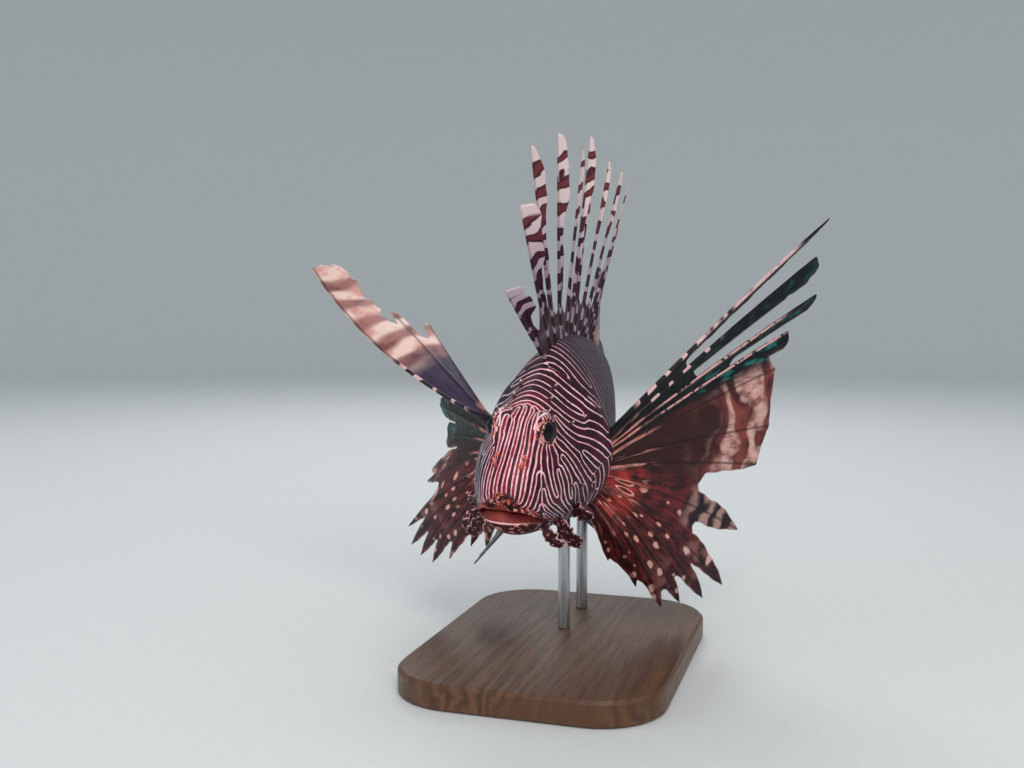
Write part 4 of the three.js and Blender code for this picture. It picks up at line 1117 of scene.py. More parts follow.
    # The fleshy base is bright red with looped pale lines, and short pale streaks start the rays
    loop_cells = add("CombineXYZ", X=add("Math", "MULTIPLY", ray_number, 1.5), Y=add("Math", "MULTIPLY",
        run, 1 / 26.0))
    loops = add("TexVoronoi", voronoi_dimensions="2D", Vector=loop_cells, Scale=1.0, Randomness=0.7)
    loop_size = add("MapRange", drift, 0.4, 0.6, 0.16, 0.28)
    loop = add("MapRange", add("Math", "ABSOLUTE", add("Math", "SUBTRACT", loops, loop_size)), 0.06, 0.025)
    base_tone = add("Mix", add("MapRange", streaks, 0.35, 0.6), paint("#541418"), paint("#ae3229"))
    base_tone = add("Mix", loop, base_tone, paint("#f1b0a2"))
    base_share = add("Math", "MULTIPLY", between_rays(add, ray_number, *base), add("Math", "MULTIPLY",
        add("MapRange", run, 31, 19), add("MapRange", cloud, 0.36, 0.5)))
    colour = add("Mix", base_share, colour, base_tone)
    glow = add("Math", "MULTIPLY", add("MapRange", off, 1.0, 0.5), add("MapRange", run, 36, 20))
    glow = add("Math", "MULTIPLY", glow, add("MapRange", streaks, 0.44, 0.52, 0.0, 0.95))
    glow = add("Math", "MULTIPLY", glow, add("MapRange", ray_number, 0.5, 1.5))
    glow = add("Math", "MULTIPLY", glow, add("MapRange", ray_number, base[0], base[0] + 1, 1.0, 0.3))
    colour = add("Mix", glow, colour, add("Mix", fine, paint("#b84a40"), paint("#eab5ab")))
    margin = add("Math", "MULTIPLY", add("MapRange", add("Attribute", "margin"), 0.6, 0.2), add("MapRange",
        off, 1.3, 2.2))
    colour = add("Mix", add("Math", "MULTIPLY", margin, 0.5), colour, paint("#dcc0c2"))
    tree.links.new(colour, shader.inputs["Base Color"])
    shader.inputs["IOR"].default_value = 1.42
    shader.inputs["Specular IOR Level"].default_value = 0.35
    shader.inputs["Coat Weight"].default_value = 0.05
    shader.inputs["Coat Roughness"].default_value = 0.25
    tree.links.new(add("MapRange", fine, 0.3, 0.7, 0.45, 0.6), shader.inputs["Roughness"])
    fibres = add("Math", "SINE", add("Math", "MULTIPLY", off, 2 * math.pi / 0.9))
    height = add("Math", "MULTIPLY_ADD", fibres, 0.25, fine)
    relief = add("Bump", Strength=0.35, Distance=0.3 * MM, Height=height)
    tree.links.new(relief, shader.inputs["Normal"])
    return material


# The right fin's dark film is painted shade over its middle rays
left_fin_paint = pectoral_finish("painted_left_fan_film", dark_film_and_shade=(-2, 3.75), panel=(3.75, 6.45), blade=None,
                                 finger=(6.55, 7.6, 0.12), fan_from=7, base=(6.2, 11.5))
right_fin_paint = pectoral_finish("painted_right_fan_film", dark_film_and_shade=(2.6, 4.45), panel=(4.45, 6.0),
    blade=(-2, 2.4),
                                  finger=None, fan_from=5.5, base=(7, 14))

# %% [markdown]
# ## Pectoral fins
#
# Fourteen rays each. The upper ones are long and mostly free, the middle ones carry a broad panel, and
# the lower ones make a fringed fan. The right fin's first ray is a long blade that bends back. Lengths and
# angles are the ones that the solids have, and the vanes are finished more finely.

# %% Pectoral rays
PECTORAL_FOOT = {"upper_angle": 80, "lower_angle": 138, "upper_along": 79, "lower_along": 72, "sunk": 3}
# length, elevation, backward sweep, web height, front vane, rear vane
LEFT_RAYS = [
    (174, 46.3, 42, 0.36, 0.9, 3), (163, 41.8, 46, 0.4, 0.8, 8), (157, 33.6, 49, 0.62, 0.8, 9),
    (132, 29.7, 50, 0.9, 0.8, 11), (116, 21.3, 50, 1, 3, 9), (108, 0.5, 50, 1, 9, 9),
    (99, -13, 47, 0.68, 9, 5),
    (99, -37.2, 40, 0.7, 8, 7), (108, -52.2, 32, 0.78, 7, 5), (102, -57.2, 29, 0.82, 6, 5),
    (93, -62.1, 27, 0.9, 5, 5), (87, -66.3, 25, 0.9, 5, 5), (67, -69.5, 25, 0.94, 4, 4),
    (47, -77, 29, 0.9, 4, 3),
]
LEFT_SHAPES = {1: {"peak": 0.9, "end": 0.6}, 2: {"peak": 0.7}, 3: {"peak": 0.8, "web_next": 1.0},
               4: {"notch": 0.1}, 5: {"notch": 0.12}, 6: {"peak": 0.62, "point": 0.9},
               **{k: {"peak": 0.62, "point": 0.9} for k in range(7, 14)}}
RIGHT_RAYS = [
    (173, 21.1, 29, 0.6, 0.9, 18), (120, 22.7, 38, 0.78, 3, 3), (101, 28.4, 44, 0.5, 4, 6),
    (88, -8, 50, 0.8, 7, 8), (86, -22.9, 50, 0.7, 8, 8), (96, -33.4, 42, 0.94, 7, 6),
    (92, -34.4, 38, 0.76, 5, 6),
    (106, -42.7, 28, 0.8, 4.5, 4.5), (108, -46.5, 26, 0.82, 4.5, 4.5), (104, -49.8, 25, 0.82, 4.5, 4.5),
    (96, -53, 24, 0.82, 4.5, 4.5), (77, -55.7, 22, 0.82, 4, 4), (53, -58.8, 20, 0.82, 3.4, 3.4),
    (46, -64.5, 21, 0.8, 3, 3),
]
RIGHT_SHAPES = {0: {"peak": 0.8, "end": 0.9, "web_next": 0.9, "room": 0.85, "cut": 0.4, "torn": 1.2},
                1: {"peak": 0.9, "end": 0.6, "web_next": 0.85, "rise": 0.5}, 2: {"peak": 0.93, "end": 0.8},
                3: {"end": 0.5}, 4: {"end": 0.5}, **{k: {"peak": 0.6, "point": 0.9} for k in range(6, 14)}}
BLADE_BOW = np.array([0.125, -0.085, -0.159])
UPPER_BOW = np.array([0, -0.05, 0.06])
LOWER_BOW = np.array([0.2, -0.02, 0.14])


def pectoral_rays(hand, table, shapes):
    rays = []
    for i, (length, up, back, web, front, rear) in enumerate(table):
        k = i / (len(table) - 1)
        angle = PECTORAL_FOOT["upper_angle"] * (1 - k) + PECTORAL_FOOT["lower_angle"] * k
        foot_along = PECTORAL_FOOT["upper_along"] * (1 - k) + PECTORAL_FOOT["lower_along"] * k
        foot = body_point(foot_along, math.radians(angle) * hand, -PECTORAL_FOOT["sunk"])
        up, back = math.radians(up), math.radians(back)
        way = [hand * math.cos(back) * math.cos(up), math.sin(back), math.cos(back) * math.sin(up)]
        bow = BLADE_BOW if hand < 0 and i == 0 else UPPER_BOW * (1 - k) + LOWER_BOW * k
        shape = dict(shapes.get(i, {}))
        vane = {key: shape.pop(key) for key in ("peak", "end", "point") if key in shape}
        rays.append(make_ray(foot, way, length, bow * [hand, 1, 1], leaf(front, **vane), leaf(rear, **vane),
                             web, **shape))
    return rays


def pectoral_ridge(share):
    return 0.15 + 1.4 * (1 - share) ** 3 + 0.3 * (1 - share)


def pectoral_fin(name, hand, table, shapes, material):
    points, faces, layers, margin = fin_sheet(pectoral_rays(hand, table, shapes), root_half=1.3,
                                              ridge=pectoral_ridge)
    piece = mesh_piece(name, to_scene(points), faces, material, {"fin": layers,
        "margin": margin})
    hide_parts("pectoral_fin_left" if hand > 0 else "pectoral_fin_right")
    print(name, "has", len(faces), "triangles")


pectoral_fin("left_pectoral_fan", 1, LEFT_RAYS, LEFT_SHAPES, left_fin_paint)
pectoral_fin("right_pectoral_fan", -1, RIGHT_RAYS, RIGHT_SHAPES, right_fin_paint)

# %% [markdown]
# ## Spiny dorsal fin
#
# Thirteen spines stand in a row along the back. Each is a round, tapering rod with its own narrow vane
# behind it, turned so that its face shows from the front, and only a low web joins them. A vane is narrow
# for most of its length and widens into a flag near the tip. Rod and vane are banded in pinkish white and
# maroon, about five millimetres a band.

# %% Dorsal paint
dorsal_paint, tree, shader, add = new_material("painted_spine_and_vane_satin")
parts = add("SeparateXYZ", Vector=add("Attribute", "fin", output="Vector"))
spine_number, along_mm, out_mm = parts.node.outputs
where = add("TexCoord")
fine = add("TexNoise", Vector=where, Scale=1 / (3.0 * MM))
slant = add("Math", "MULTIPLY_ADD", out_mm, -0.55, along_mm)
slant = add("Math", "MULTIPLY_ADD", spine_number, 3.1, slant)
drift = add("TexNoise", Vector=where, Scale=1 / (11.0 * MM), Detail=1.0)
bent = add("Math", "MULTIPLY_ADD", drift, 14.0, add("Math", "MULTIPLY_ADD", fine, 2.0, slant))
wave = add("Math", "SINE", add("Math", "MULTIPLY", bent, 2 * math.pi / 10.5))
upper_part = add("MapRange", along_mm, 42, 74)
dark_tone = add("Mix", add("MapRange", fine, 0.35, 0.65), paint("#260a1b"), paint("#43142b"))
rust_tone = add("Mix", add("MapRange", wave, -0.3, -0.9), paint("#43162a"), paint("#743038"))
dark_tone = add("Mix", upper_part, dark_tone, rust_tone)
pale_tone = add("Mix", upper_part, paint("#c0a9ba"), paint("#e8cfd0"))
threshold = add("MapRange", along_mm, 12, 70, 0.55, -0.05)
band_share = add("MapRange", add("Math", "SUBTRACT", wave, threshold), -0.15, 0.2)
web_dark = add("Math", "MULTIPLY", add("MapRange", out_mm, 1.6, 3.2), add("MapRange", along_mm, 44, 26))
band_share = add("Math", "MULTIPLY_ADD", add("Math", "MULTIPLY", web_dark, -0.9), band_share, band_share)
band_share = add("Math", "MAXIMUM", band_share, add("MapRange", add("Attribute", "tip_mm"), 6.0, 4.0))
colour = add("Mix", band_share, dark_tone, pale_tone)
colour = add("Mix", add("Math", "MULTIPLY", add("MapRange", out_mm, 0.9, 0.5), 0.35), colour,
    paint("#1d0a1a"))
tree.links.new(colour, shader.inputs["Base Color"])
shader.inputs["Roughness"].default_value = 0.5
shader.inputs["IOR"].default_value = 1.42
shader.inputs["Specular IOR Level"].default_value = 0.3
shader.inputs["Coat Weight"].default_value = 0.05
shader.inputs["Coat Roughness"].default_value = 0.25
relief = add("Bump", Strength=0.3, Distance=0.3 * MM, Height=fine)
tree.links.new(relief, shader.inputs["Normal"])

# %% Dorsal spines
# length, backward lean, leftward lean, vane width, vane end, turn of the vane
DORSAL_SPINES = [
    (56, -48, -6, 8.0, 0.7, 60), (78, -29, -3, 7.2, 0.8, 60), (100, -24, -1, 4.2, 0, 60),
    (97, -12, 1, 5.2, 0, 60),
    (90, 16, 0, 2.8, 0, 20), (99, 20.5, 0, 5, 0, 45), (93, 26, -1, 2.8, 0, 10), (97, 32, 3, 2.8, 0, 0),
    (93, 31, 7, 2.8, 0, 0), (89, 30, 10, 2.8, 0, 0), (70, 34, 9, 2.8, 0, 0), (58, 38, 7, 2.8, 0, 0),
    (48, 38, 5, 2.8, 0, 0),
]
DORSAL_START = 66.0
DORSAL_STEP = 7.9
DORSAL_WEB = 0.15
DORSAL_SUNK = 3.5
FLAG_NECK = 0.5                     # the vane's width below its flag, as a share of the flag's


def spine_ray(i):
    length, back, left = DORSAL_SPINES[i][:3]
    at = DORSAL_START + DORSAL_STEP * i
    foot = [0, at, float(body_size("top", at)) - DORSAL_SUNK]
    back, left = math.radians(back), math.radians(left)
    way = [math.sin(left), math.cos(left) * math.sin(back), math.cos(left) * math.cos(back)]
    thin = leaf(0.3, 0.5, 1.0)
    return make_ray(foot, way, length + DORSAL_SUNK, [0, -0.04, 0], thin, thin, 0.26 * 90 / length)


def spine_line(i, rows):
    ray = spine_ray(i)
    return line_at(ray, np.linspace(0, ray["length"], rows))


def turned(vectors, axes, angles):
    """Each vector turned about its own axis."""
    cosine, sine = np.cos(angles)[:, None], np.sin(angles)[:, None]
    along_axis = (vectors * axes).sum(axis=1, keepdims=True)
    return vectors * cosine + np.cross(axes, vectors) * sine + axes * along_axis * (1 - cosine)


def rod_grid(line, radius, sides=12):
    tangent = np.gradient(line, axis=0)
    tangent /= np.linalg.norm(tangent, axis=1, keepdims=True)
    first = np.cross(tangent, [1.0, 0.05, 0])
    first /= np.linalg.norm(first, axis=1, keepdims=True)
    second = np.cross(tangent, first)
    turn = np.linspace(0, 2 * math.pi, sides, endpoint=False)
    ring = np.cos(turn)[None, :, None] * first[:, None] + np.sin(turn)[None, :, None] * second[:, None]
    return line[:, None] + ring * radius[:, None, None], tangent


def dorsal_spine(i, rows=80, columns=9):
    """The rod and the vane of one spine, as points, triangles and layers."""
    length, _, _, width, end, turn = DORSAL_SPINES[i]
    t = np.linspace(0, 1, rows)
    line = spine_line(i, rows)
    other = spine_line(i + 1, rows) if i < len(DORSAL_SPINES) - 1 else 2 * line - spine_line(i - 1, rows)
    rod, tangent = rod_grid(line, 1.15 * (1 - t) + 0.28 * t)
    ring = rod.shape[1]
    rod_points = np.concatenate([rod.reshape(-1, 3), line[-1:] + tangent[-1:] * 1.0])
    quads = tube_faces(rows, ring)
    cap_ring = (rows - 1) * ring + np.arange(ring)
    cap = np.stack([cap_ring, np.roll(cap_ring, -1), np.full(ring, rows * ring)], 1)
    rod_faces = np.concatenate([quads[:, [0, 1, 2]], quads[:, [0, 2, 3]], cap])
    rod_layers = np.stack([np.full(len(rod_points), i), np.append(np.repeat(t, ring), 1) * length,
                           np.zeros(len(rod_points))], 1)

    away = other - line
    away -= tangent * (away * tangent).sum(axis=1, keepdims=True)
    away /= np.linalg.norm(away, axis=1, keepdims=True)
    twist = math.radians(-turn) * smooth_step(t, DORSAL_WEB * 0.8, DORSAL_WEB + 0.3)
    flat = turned(away, tangent, twist)
    cup = np.cross(tangent, flat)
    limit = np.linalg.norm(other - line, axis=1) * 0.9
    flag = FLAG_NECK + (1 - FLAG_NECK) * smooth_step(t, 0.55, 0.76) + 0.3 * (1 - smooth_step(t, 0.1, 0.4))
    wide = np.minimum(leaf(width, 0.86, end)(t) * flag, limit)
    wave = 1 + 0.09 * np.sin(t * 19 + 2.3 * i) + 0.05 * np.sin(t * 47 + 2 * i)
    across_share = np.linspace(0, 1, columns)
    out = across_share[None, :] * (wide * wave)[:, None]
    bulge = 0.10 * width * np.sin(across_share * math.pi)[None, :] * np.sin(t * math.pi)[:, None]
    vane = line[:, None] + flat[:, None] * out[..., None] + cup[:, None] * bulge[..., None]
    vane_faces = grid_triangles(rows, columns)
    half = np.broadcast_to(0.12 + 0.16 * (1 - across_share[None, :] ** 4), out.shape).ravel()
    vane_points, vane_faces = thicken(vane.reshape(-1, 3), vane_faces, half)
    layer = np.stack([np.full(out.size, i), np.repeat(t, columns) * length, out.ravel() + 0.9], 1)
    vane_layers = np.concatenate([layer, layer])
    return [(rod_points, rod_faces, rod_layers), (vane_points, vane_faces, vane_layers)]


def merge(parts):
    points, faces, layers, start = [], [], [], 0
    for p, f, a in parts:
        points.append(p)
        faces.append(f + start)
        layers.append(a)
        start += len(p)
    return np.concatenate(points), np.concatenate(faces), np.concatenate(layers)


dorsal_parts = []
for i in range(len(DORSAL_SPINES)):
    dorsal_parts += dorsal_spine(i)
webs = [{**spine_ray(i), "length": spine_ray(i)["length"]} for i in range(len(DORSAL_SPINES))]
web_points, web_faces, web_layers, _ = fin_sheet(webs, step=0.9, columns=10, notch=0.6,
                                                          ridge=lambda share: 0 * share)
web_layers[:, 2] += 0.9
dorsal_parts.append((web_points, web_faces, web_layers))
points, faces, layers = merge(dorsal_parts)
lengths = np.array([row[0] for row in DORSAL_SPINES], float)
tip_mm = lengths[np.clip(np.round(layers[:, 0]), 0, len(lengths) - 1).astype(int)] - layers[:, 1]
dorsal = mesh_piece("dorsal_spines_and_vanes", to_scene(points, swings=True), faces, dorsal_paint,
                    {"fin": layers, "tip_mm": tip_mm})
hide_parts("spiny_dorsal_fin")
print("thirteen dorsal spines,", len(faces), "triangles")

# %% [markdown]
# ## Soft fins
#
# The soft dorsal, anal and tail fins are clear, faintly tinted film on fine rays, with rows of dark spots
# on the rays. The pelvic fins are dark navy with pale spots. One function lays them all out.

# %% Soft fin paint
soft_paint, tree, shader, add = new_material("tinted_fin_film_with_spots")
parts = add("SeparateXYZ", Vector=add("Attribute", "fin", output="Vector"))
ray_number, along_mm, off_mm = parts.node.outputs
where = add("TexCoord")
fine = add("TexNoise", Vector=where, Scale=1 / (2.5 * MM))
film = add("Mix", fine, paint("#7a5f68"), paint("#b59a98"))
ray_tone = add("Mix", add("MapRange", off_mm, 0.7, 0.25), film, paint("#c3a09c"))
ray_index = add("Math", "ROUND", ray_number)
shift = add("Math", "MULTIPLY", add("Math", "SINE", add("Math", "MULTIPLY", ray_index, 2.3)), 2.6)
shifted = add("Math", "MULTIPLY_ADD", fine, 5.0, add("Math", "ADD", along_mm, shift))
spot_wave = add("Math", "SINE", add("Math", "MULTIPLY", shifted, 2 * math.pi / 7.5))
spot_reach = add("MapRange", spot_wave, 0.25, 1.0, 0.0, 1.35)
spot = add("MapRange", add("Math", "SUBTRACT", spot_reach, off_mm), -0.3, 0.3)
spot = add("Math", "MULTIPLY", spot, add("MapRange", along_mm, 12, 24))
# Dark scales run a little way up the film from its root
root = add("MapRange", add("Math", "MULTIPLY_ADD", off_mm, 3.0, along_mm), 13, 4)
ray_tone = add("Mix", root, ray_tone, paint("#2b2236"))
colour = add("Mix", spot, ray_tone, paint("#2c1220"))
tree.links.new(colour, shader.inputs["Base Color"])
shader.inputs["Roughness"].default_value = 0.4
shader.inputs["IOR"].default_value = 1.45
solid_part = add("Math", "MAXIMUM", spot, add("MapRange", off_mm, 0.8, 0.3, 0.0, 0.9))
solid_part = add("Math", "MAXIMUM", solid_part, root)
clear = add("MapRange", add("Attribute", "margin"), 6.0, 14.0, 0.36, 0.6)
tree.links.new(add("MapRange", solid_part, 0, 1, clear, 1.0), shader.inputs["Alpha"])

pelvic_paint, tree, shader, add = new_material("dark_fin_film_with_pale_spots")
parts = add("SeparateXYZ", Vector=add("Attribute", "fin", output="Vector"))
_, along_mm, off_mm = parts.node.outputs
where = add("TexCoord")
fine = add("TexNoise", Vector=where, Scale=1 / (6.0 * MM))
film = add("Mix", fine, paint("#0d0f1c"), paint("#2d2038"))
spots = add("TexVoronoi", Vector=where, Scale=1 / (9 * MM))
colour = add("Mix", add("MapRange", spots, 0.25, 0.17), film, paint("#bdb0c4"))
colour = add("Mix", add("Math", "MULTIPLY", add("MapRange", off_mm, 0.8, 0.3), 0.6), colour,
    paint("#1b1626"))
tree.links.new(colour, shader.inputs["Base Color"])
shader.inputs["Roughness"].default_value = 0.42
shader.inputs["IOR"].default_value = 1.45

# %% Soft fins on back, belly and tail
def soft_fin(name, node, material, count, foot, direction, length, web, spread, bow=(0, 0, 0)):
    vane = leaf(spread, 0.8, 0.0)
    rays = []
    for i in range(count):
        k = i / (count - 1)
        way = np.array(direction(k), float)
        way /= np.linalg.norm(way)
        rays.append(make_ray(foot(k), way, length(k), bow, vane, vane, web(k)))
    points, faces, layers, margin = fin_sheet(rays, step=0.8, columns=10, notch=0.3, billow=0.03,
                                              ridge=lambda share: 0.55 - 0.35 * share)
    piece = mesh_piece(name, to_scene(points, swings=True), faces, material,
                       {"fin": layers, "margin": margin})
    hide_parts(node)
    print(name, "has", len(faces), "triangles")


def between(low, high, share):
    return low + (high - low) * share


def top_at(at):
    return float(body_size("top", at))


def bottom_at(at):
    return float(body_size("bottom", at))


soft_fin("soft_dorsal_film", "soft_dorsal_fin", soft_paint, 11,
         lambda k: (0, between(172, 205, k), top_at(between(172, 205, k)) - 3),
         lambda k: (0, between(0.75, 1.6, k), between(1.1, 0.62, k)),
         lambda k: 48 + 14 * math.sin(math.pi * min(k * 1.15, 1)) - 8 * k, lambda k: 0.985, 1.2)
soft_fin("anal_film", "anal_fin", soft_paint, 10,
         lambda k: (0, between(172, 203, k), bottom_at(between(172, 203, k)) + 3),
         lambda k: (0, between(0.5, 1.5, k), between(-1.1, -0.7, k)),
         lambda k: between(20, 54, min(k * 3, 1) ** 0.8) - 10 * k * k,
         lambda k: 0.8 if k < 0.25 else 0.985, 1.2)
soft_fin("tail_film", "caudal_fin", soft_paint, 13,
         lambda k: (0, STANDARD_LENGTH - 6, between(9.5, -8.5, k)),
         lambda k: (0, 1, math.tan(math.radians(between(27, -27, k)))),
         lambda k: 68 + 14 * math.sin(math.pi * k), lambda k: 0.985, 1.3)

for hand, lead, trail, side_name in ((-1, (-0.54, 0.43, -0.72), (-0.42, 0.84, -0.46), "right"),
                                     (1, (0.3, 0.72, -0.62), (0.16, 0.93, -0.33), "left")):
    soft_fin(f"{side_name}_pelvic_film", f"pelvic_fin_{side_name}", pelvic_paint, 6,
             lambda k, hand=hand: body_point(between(78, 88, k), hand * math.radians(between(158, 164,
             k)), -3),
             lambda k, lead=lead, trail=trail: np.array(lead) * (1 - k) + np.array(trail) * k,
             lambda k: 62 + 20 * math.sin(math.pi * between(0.2, 0.8, k)), lambda k: 0.95, 2.0,
             (hand * 0.05, 0, -0.05))

# %% [markdown]
# ## Spines, papillae and skin flaps on the head
#
# A lionfish's head is rough: short spines with pale bony tips stand on the crown, over the eye and along
# the cheek, a soft orange papilla sits at each nostril, and dark ruffled flaps of skin hang from the jaw's
# corner. Each is small, so each is a swept tube or a frilled sheet of its own, sunk a little in the skin.

# %% Bony tips and papillae
spine_paint, tree, shader, add = new_material("painted_bony_spine")
tip_share = add("Attribute", "tip_share")
where = add("TexCoord")
fine = add("TexNoise", Vector=where, Scale=1 / (1.0 * MM), Detail=2.0)
tip_start = add("Math", "MULTIPLY_ADD", fine, 0.3, tip_share)
colour = add("Mix", add("MapRange", tip_start, 0.55, 0.9), paint("#3a1020"), paint("#dcb8c0"))
tree.links.new(colour, shader.inputs["Base Color"])
shader.inputs["Roughness"].default_value = 0.45
shader.inputs["Specular IOR Level"].default_value = 0.35

papilla_paint, tree, shader, add = new_material("painted_soft_papilla")
tip_share = add("Attribute", "tip_share")
where = add("TexCoord")
fine = add("TexNoise", Vector=where, Scale=1 / (0.8 * MM), Detail=2.0)
colour = add("Mix", add("MapRange", add("Math", "ADD", tip_share, fine), 0.6, 1.3), paint("#b8352c"),
    paint("#ee8074"))
tree.links.new(colour, shader.inputs["Base Color"])
shader.inputs["Roughness"].default_value = 0.5
shader.inputs["Subsurface Weight"].default_value = 0.1
shader.inputs["Subsurface Radius"].default_value = (0.8 * MM, 0.3 * MM, 0.2 * MM)


def swept(path, radius, sides=12):
    """A closed tube along a path, with rounded ends, and each point's share along it."""
    rows = len(path)
    tube, tangent = rod_grid(path, radius, sides)
    points = np.concatenate([tube.reshape(-1, 3), path[:1] - tangent[:1] * radius[0] * 0.4,
                             path[-1:] + tangent[-1:] * radius[-1] * 0.6])
    quads = tube_faces(rows, sides)
    first_ring = np.arange(sides)
    last_ring = (rows - 1) * sides + first_ring
    start = np.stack([np.roll(first_ring, -1), first_ring, np.full(sides, rows * sides)], 1)
    stop = np.stack([last_ring, np.roll(last_ring, -1), np.full(sides, rows * sides + 1)], 1)
    faces = np.concatenate([quads[:, [0, 1, 2]], quads[:, [0, 2, 3]], start, stop])
    share = np.append(np.repeat(np.linspace(0, 1, rows), sides), [0, 1])
    return points, faces, share[:, None]


def body_normal(along, around):
    to_tail = body_point(along + 0.5, around) - body_point(along - 0.5, around)
    to_side = body_point(along, around + 0.02) - body_point(along, around - 0.02)
    normal = np.cross(to_side, to_tail)
    return normal / np.linalg.norm(normal)


# Distance from the snout, angle round the body, length and radius at the foot
HEAD_SPINES = [
    (19, 26, 3, 1.3), (26, 20, 3.5, 1.4), (33, 24, 4.5, 1.5), (41, 22, 5, 1.6), (49, 21, 5.5, 1.7),
    (44, 46, 4, 1.4), (54, 50, 5, 1.6), (30, 84, 3, 1.4), (38, 89, 3.5, 1.5), (46, 96, 4.5, 1.6),
    (52, 108, 5, 1.7), (50, 122, 4.5, 1.6), (46, 134, 4, 1.5),
]
spine_parts = []
for at, degrees, length, radius in HEAD_SPINES:
    for hand in (1, -1):
        a = hand * math.radians(degrees)
        normal = body_normal(at, a)
        if normal @ (body_point(at, a) - [0, at, float(body_size("mid", at))]) < 0:
            normal = -normal
        lean_back = normal * 0.38 + np.array([0, 0.62, 0])
        lean_back /= np.linalg.norm(lean_back)
        t = np.linspace(0, 1, 14)[:, None]
        path = body_point(at, a, -1.5) + lean_back * (length + 1.5) * t + normal * 0.8 * np.sin(t * math.pi)
        spine_parts.append(swept(path, radius * 0.8 * (1 - 0.86 * t[:, 0] ** 0.8)))
points, faces, shares = merge(spine_parts)
mesh_piece("head_spines", to_scene(points), faces, spine_paint, {"tip_share": shares[:, 0]})

papilla_parts = []
for hand in (1, -1):
    foot = body_point(10.5, hand * math.radians(25), -1)
    t = np.linspace(0, 1, 16)[:, None]
    path = foot + np.array([hand * 1.2, -1.4, 4.4]) * t + np.array([0, -0.6, 0.3]) * np.sin(t * math.pi)
    papilla_parts.append(swept(path, 0.85 - 0.45 * t[:, 0] ** 1.5))
    knob = body_point(13.8, hand * math.radians(22.5), -0.4)
    normal = np.array([hand * 0.3, -0.75, 0.6])
    ball = knob + normal * np.linspace(0, 1.7, 10)[:, None]
    papilla_parts.append(swept(ball, 1.05 * np.sqrt(np.clip(1 - np.linspace(-0.4, 0.93, 10) ** 2, 0.02,
        1))))
points, faces, shares = merge(papilla_parts)
mesh_piece("nostril_papillae", to_scene(points), faces, papilla_paint, {"tip_share": shares[:, 0]})
print("head spines:", 2 * len(HEAD_SPINES), "and four papillae")

# %% Skin flaps
flap_paint, tree, shader, add = new_material("painted_ruffled_skin_flap")
parts = add("SeparateXYZ", Vector=add("Attribute", "flap", output="Vector"))
across_share, _, margin_mm = parts.node.outputs
where = add("TexCoord")
fine = add("TexNoise", Vector=where, Scale=1 / (1.6 * MM))
cells = add("TexVoronoi", feature="DISTANCE_TO_EDGE", Vector=where, Scale=1 / (4.2 * MM))
ring = add("MapRange", add("Math", "ABSOLUTE", add("Math", "SUBTRACT", cells, 0.2)), 0.06, 0.02)
colour = add("Mix", fine, paint("#16050c"), paint("#4a1420"))
colour = add("Mix", add("Math", "MULTIPLY", ring, add("MapRange", fine, 0.48, 0.58)), colour,
    paint("#c97f80"))
colour = add("Mix", add("Math", "MULTIPLY", add("MapRange", margin_mm, 0.5, 0.2), add("MapRange", fine,
    0.42, 0.55)), colour, paint("#d9aeb2"))
tree.links.new(colour, shader.inputs["Base Color"])
shader.inputs["Roughness"].default_value = 0.5
shader.inputs["Specular IOR Level"].default_value = 0.3
relief = add("Bump", Strength=0.4, Distance=0.3 * MM, Height=fine)
tree.links.new(relief, shader.inputs["Normal"])

# Distance from the snout, angle, length, width, and the way it hangs: outward, down and back
SKIN_FLAPS = [
    (20, 124, 13, 6.5, 0.45, 0.88, 0.0), (29, 122, 17, 8.5, 0.5, 0.85, 0.1),
    (41, 114, 10, 7.5, 0.6, 0.78, 0.15),
]
FLAP_ROWS = 60
FLAP_COLUMNS = 30


def skin_flap(along_at, degrees, length, width, out, down, back, hand, number):
    """A lobed sheet whose margins are frilled."""
    foot = body_point(along_at, hand * math.radians(degrees), -2)
    hang = np.array([hand * out, back, -down])
    hang /= np.linalg.norm(hang)
    side_way = np.cross(hang, [0, 1.0, 0.35])
    side_way /= np.linalg.norm(side_way)
    face_way = np.cross(hang, side_way)
    t = np.linspace(0, 1, FLAP_ROWS)[:, None]
    u = np.linspace(-1, 1, FLAP_COLUMNS)[None, :]
    lobes = 0.62 + 0.38 * np.abs(np.sin(t * 7.5 + number + 0.9 * np.sign(u)))
    end = np.sqrt(np.clip(1 - np.clip((t - 0.72) / 0.28, 0, 1) ** 2, 0.03, 1))
    half_width = width * 0.5 * (0.55 + 0.6 * np.sin(t * math.pi * 0.75)) * lobes * end
    frill = (1.1 * np.sin(t * 17 + number + 1.4 * u) + 0.6 * np.sin(t * 31 + 2 * number)) * u ** 2
    curl = 2.2 * np.sin(math.pi * t * 1.4)
    centre = foot + hang * (length + 2) * t
    points = (centre[:, None] + side_way * (half_width * u)[..., None]
              + face_way * (frill + curl * 0.9)[..., None])
    margin = np.minimum(half_width * (1 - np.abs(u)), (1 - t) * (length + 2) + 0 * u)
    half = 0.25 + 0.5 * (1 - u ** 2) * (1 - 0.7 * t)
    points, faces = thicken(points.reshape(-1, 3), grid_triangles(FLAP_ROWS, FLAP_COLUMNS), half.ravel())
    layer = np.stack([np.broadcast_to(u, margin.shape).ravel(), np.broadcast_to(t * length,
        margin.shape).ravel(),
                      margin.ravel()], 1)
    return points, faces, np.concatenate([layer, layer])


flap_parts = []
for number, flap in enumerate(SKIN_FLAPS):
    for hand in (1, -1):
        flap_parts.append(skin_flap(*flap, hand, number + 0.5 * hand))
points, faces, layers = merge(flap_parts)
mesh_piece("cheek_flaps", to_scene(points), faces, flap_paint, {"flap": layers})
print("six skin flaps hang from the jaw's corners")

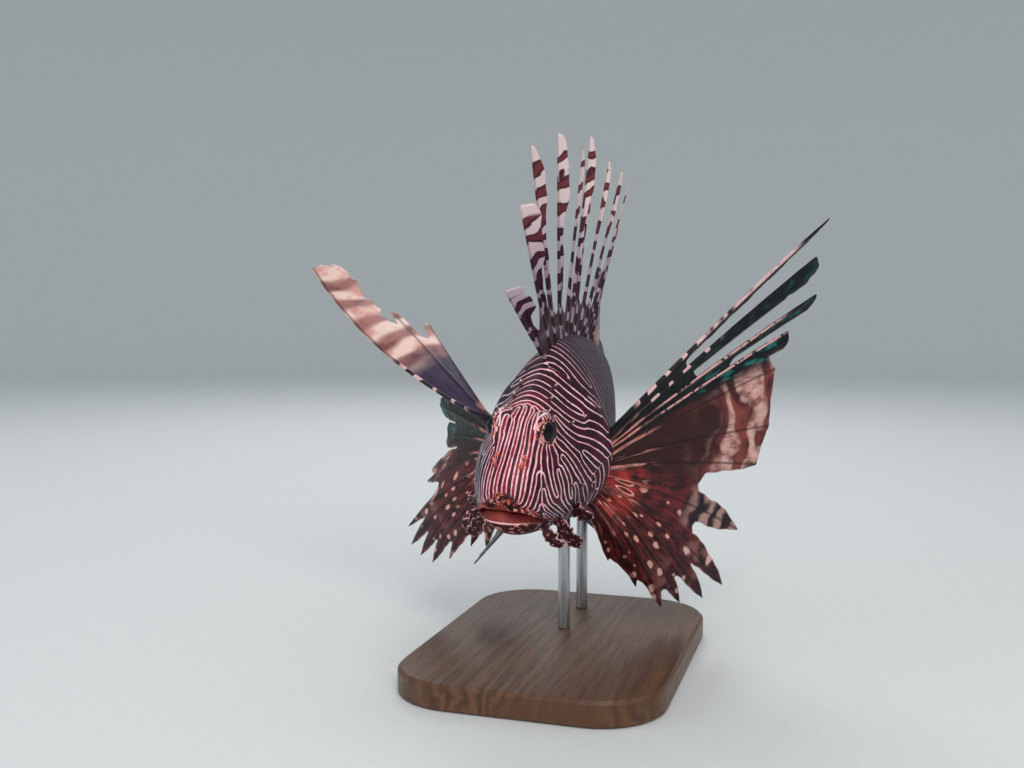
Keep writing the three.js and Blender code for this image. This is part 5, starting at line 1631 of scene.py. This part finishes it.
# %% [markdown]
# ## The stand
#
# The base is a walnut board, planed and oiled: brown with darker growth rings that run along it, and fine
# open pores. The rods are stainless steel, brushed along their length, so their gloss is drawn out round
# them. Both keep the solids' own meshes and only get their finish here.

# %% Walnut and brushed steel
walnut, tree, shader, add = new_material("oiled_walnut_board")
where = add("TexCoord")
long_grain = add("Mapping", Vector=where, Scale=(1.0, 0.09, 1.0))
drift = add("TexNoise", Vector=long_grain, Scale=1 / (22.0 * MM))
bent_place = add("Mix", "ADD", 0.035, where, drift.node.outputs["Color"])
stretched = add("Mapping", Vector=bent_place, Scale=(1.0, 0.07, 0.8))
rings = add("TexWave", wave_type="BANDS", bands_direction="X", Vector=stretched, Scale=1 / (22 * MM),
    Distortion=3.0, Detail=3.0, Detail_Scale=1.4)
fibres = add("Mapping", Vector=where, Scale=(1.0, 0.03, 1.0))
pores = add("TexNoise", Vector=fibres, Scale=1 / (0.7 * MM), Roughness=0.6)
colour = add("Mix", rings.node.outputs["Fac"], paint("#4b2f1d"), paint("#6d4a30"))
colour = add("Mix", add("MapRange", drift, 0.35, 0.7), colour, paint("#5a3a25"))
colour = add("Mix", add("MapRange", pores, 0.58, 0.70, 0.0, 0.55), colour, paint("#2b190f"))
tree.links.new(colour, shader.inputs["Base Color"])
tree.links.new(add("MapRange", pores, 0.4, 0.7, 0.36, 0.55), shader.inputs["Roughness"])
shader.inputs["IOR"].default_value = 1.47
height = add("Math", "MULTIPLY_ADD", add("MapRange", pores, 0.56, 0.7), -0.8, rings.node.outputs["Fac"])
relief = add("Bump", Strength=0.25, Distance=0.2 * MM, Height=height)
tree.links.new(relief, shader.inputs["Normal"])

steel, tree, shader, add = new_material("brushed_stainless_steel")
where = add("TexCoord")
drawn = add("Mapping", Vector=where, Scale=(1.0, 1.0, 0.02))
scratches = add("TexNoise", Vector=drawn, Scale=1 / (0.45 * MM))
tree.links.new(add("Mix", scratches, paint("#a9abae"), paint("#c9cacc")), shader.inputs["Base Color"])
tree.links.new(add("MapRange", scratches, 0.3, 0.7, 0.24, 0.42), shader.inputs["Roughness"])
shader.inputs["Metallic"].default_value = 1.0
relief = add("Bump", Strength=0.12, Distance=0.05 * MM, Height=scratches)
tree.links.new(relief, shader.inputs["Normal"])

for name, finish in (("stand_base", walnut), ("stand_rod_front", steel), ("stand_rod_rear", steel)):
    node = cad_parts[name]
    for material_slot in node.material_slots:
        material_slot.material = finish
    print(name, "is finished in", finish.name)
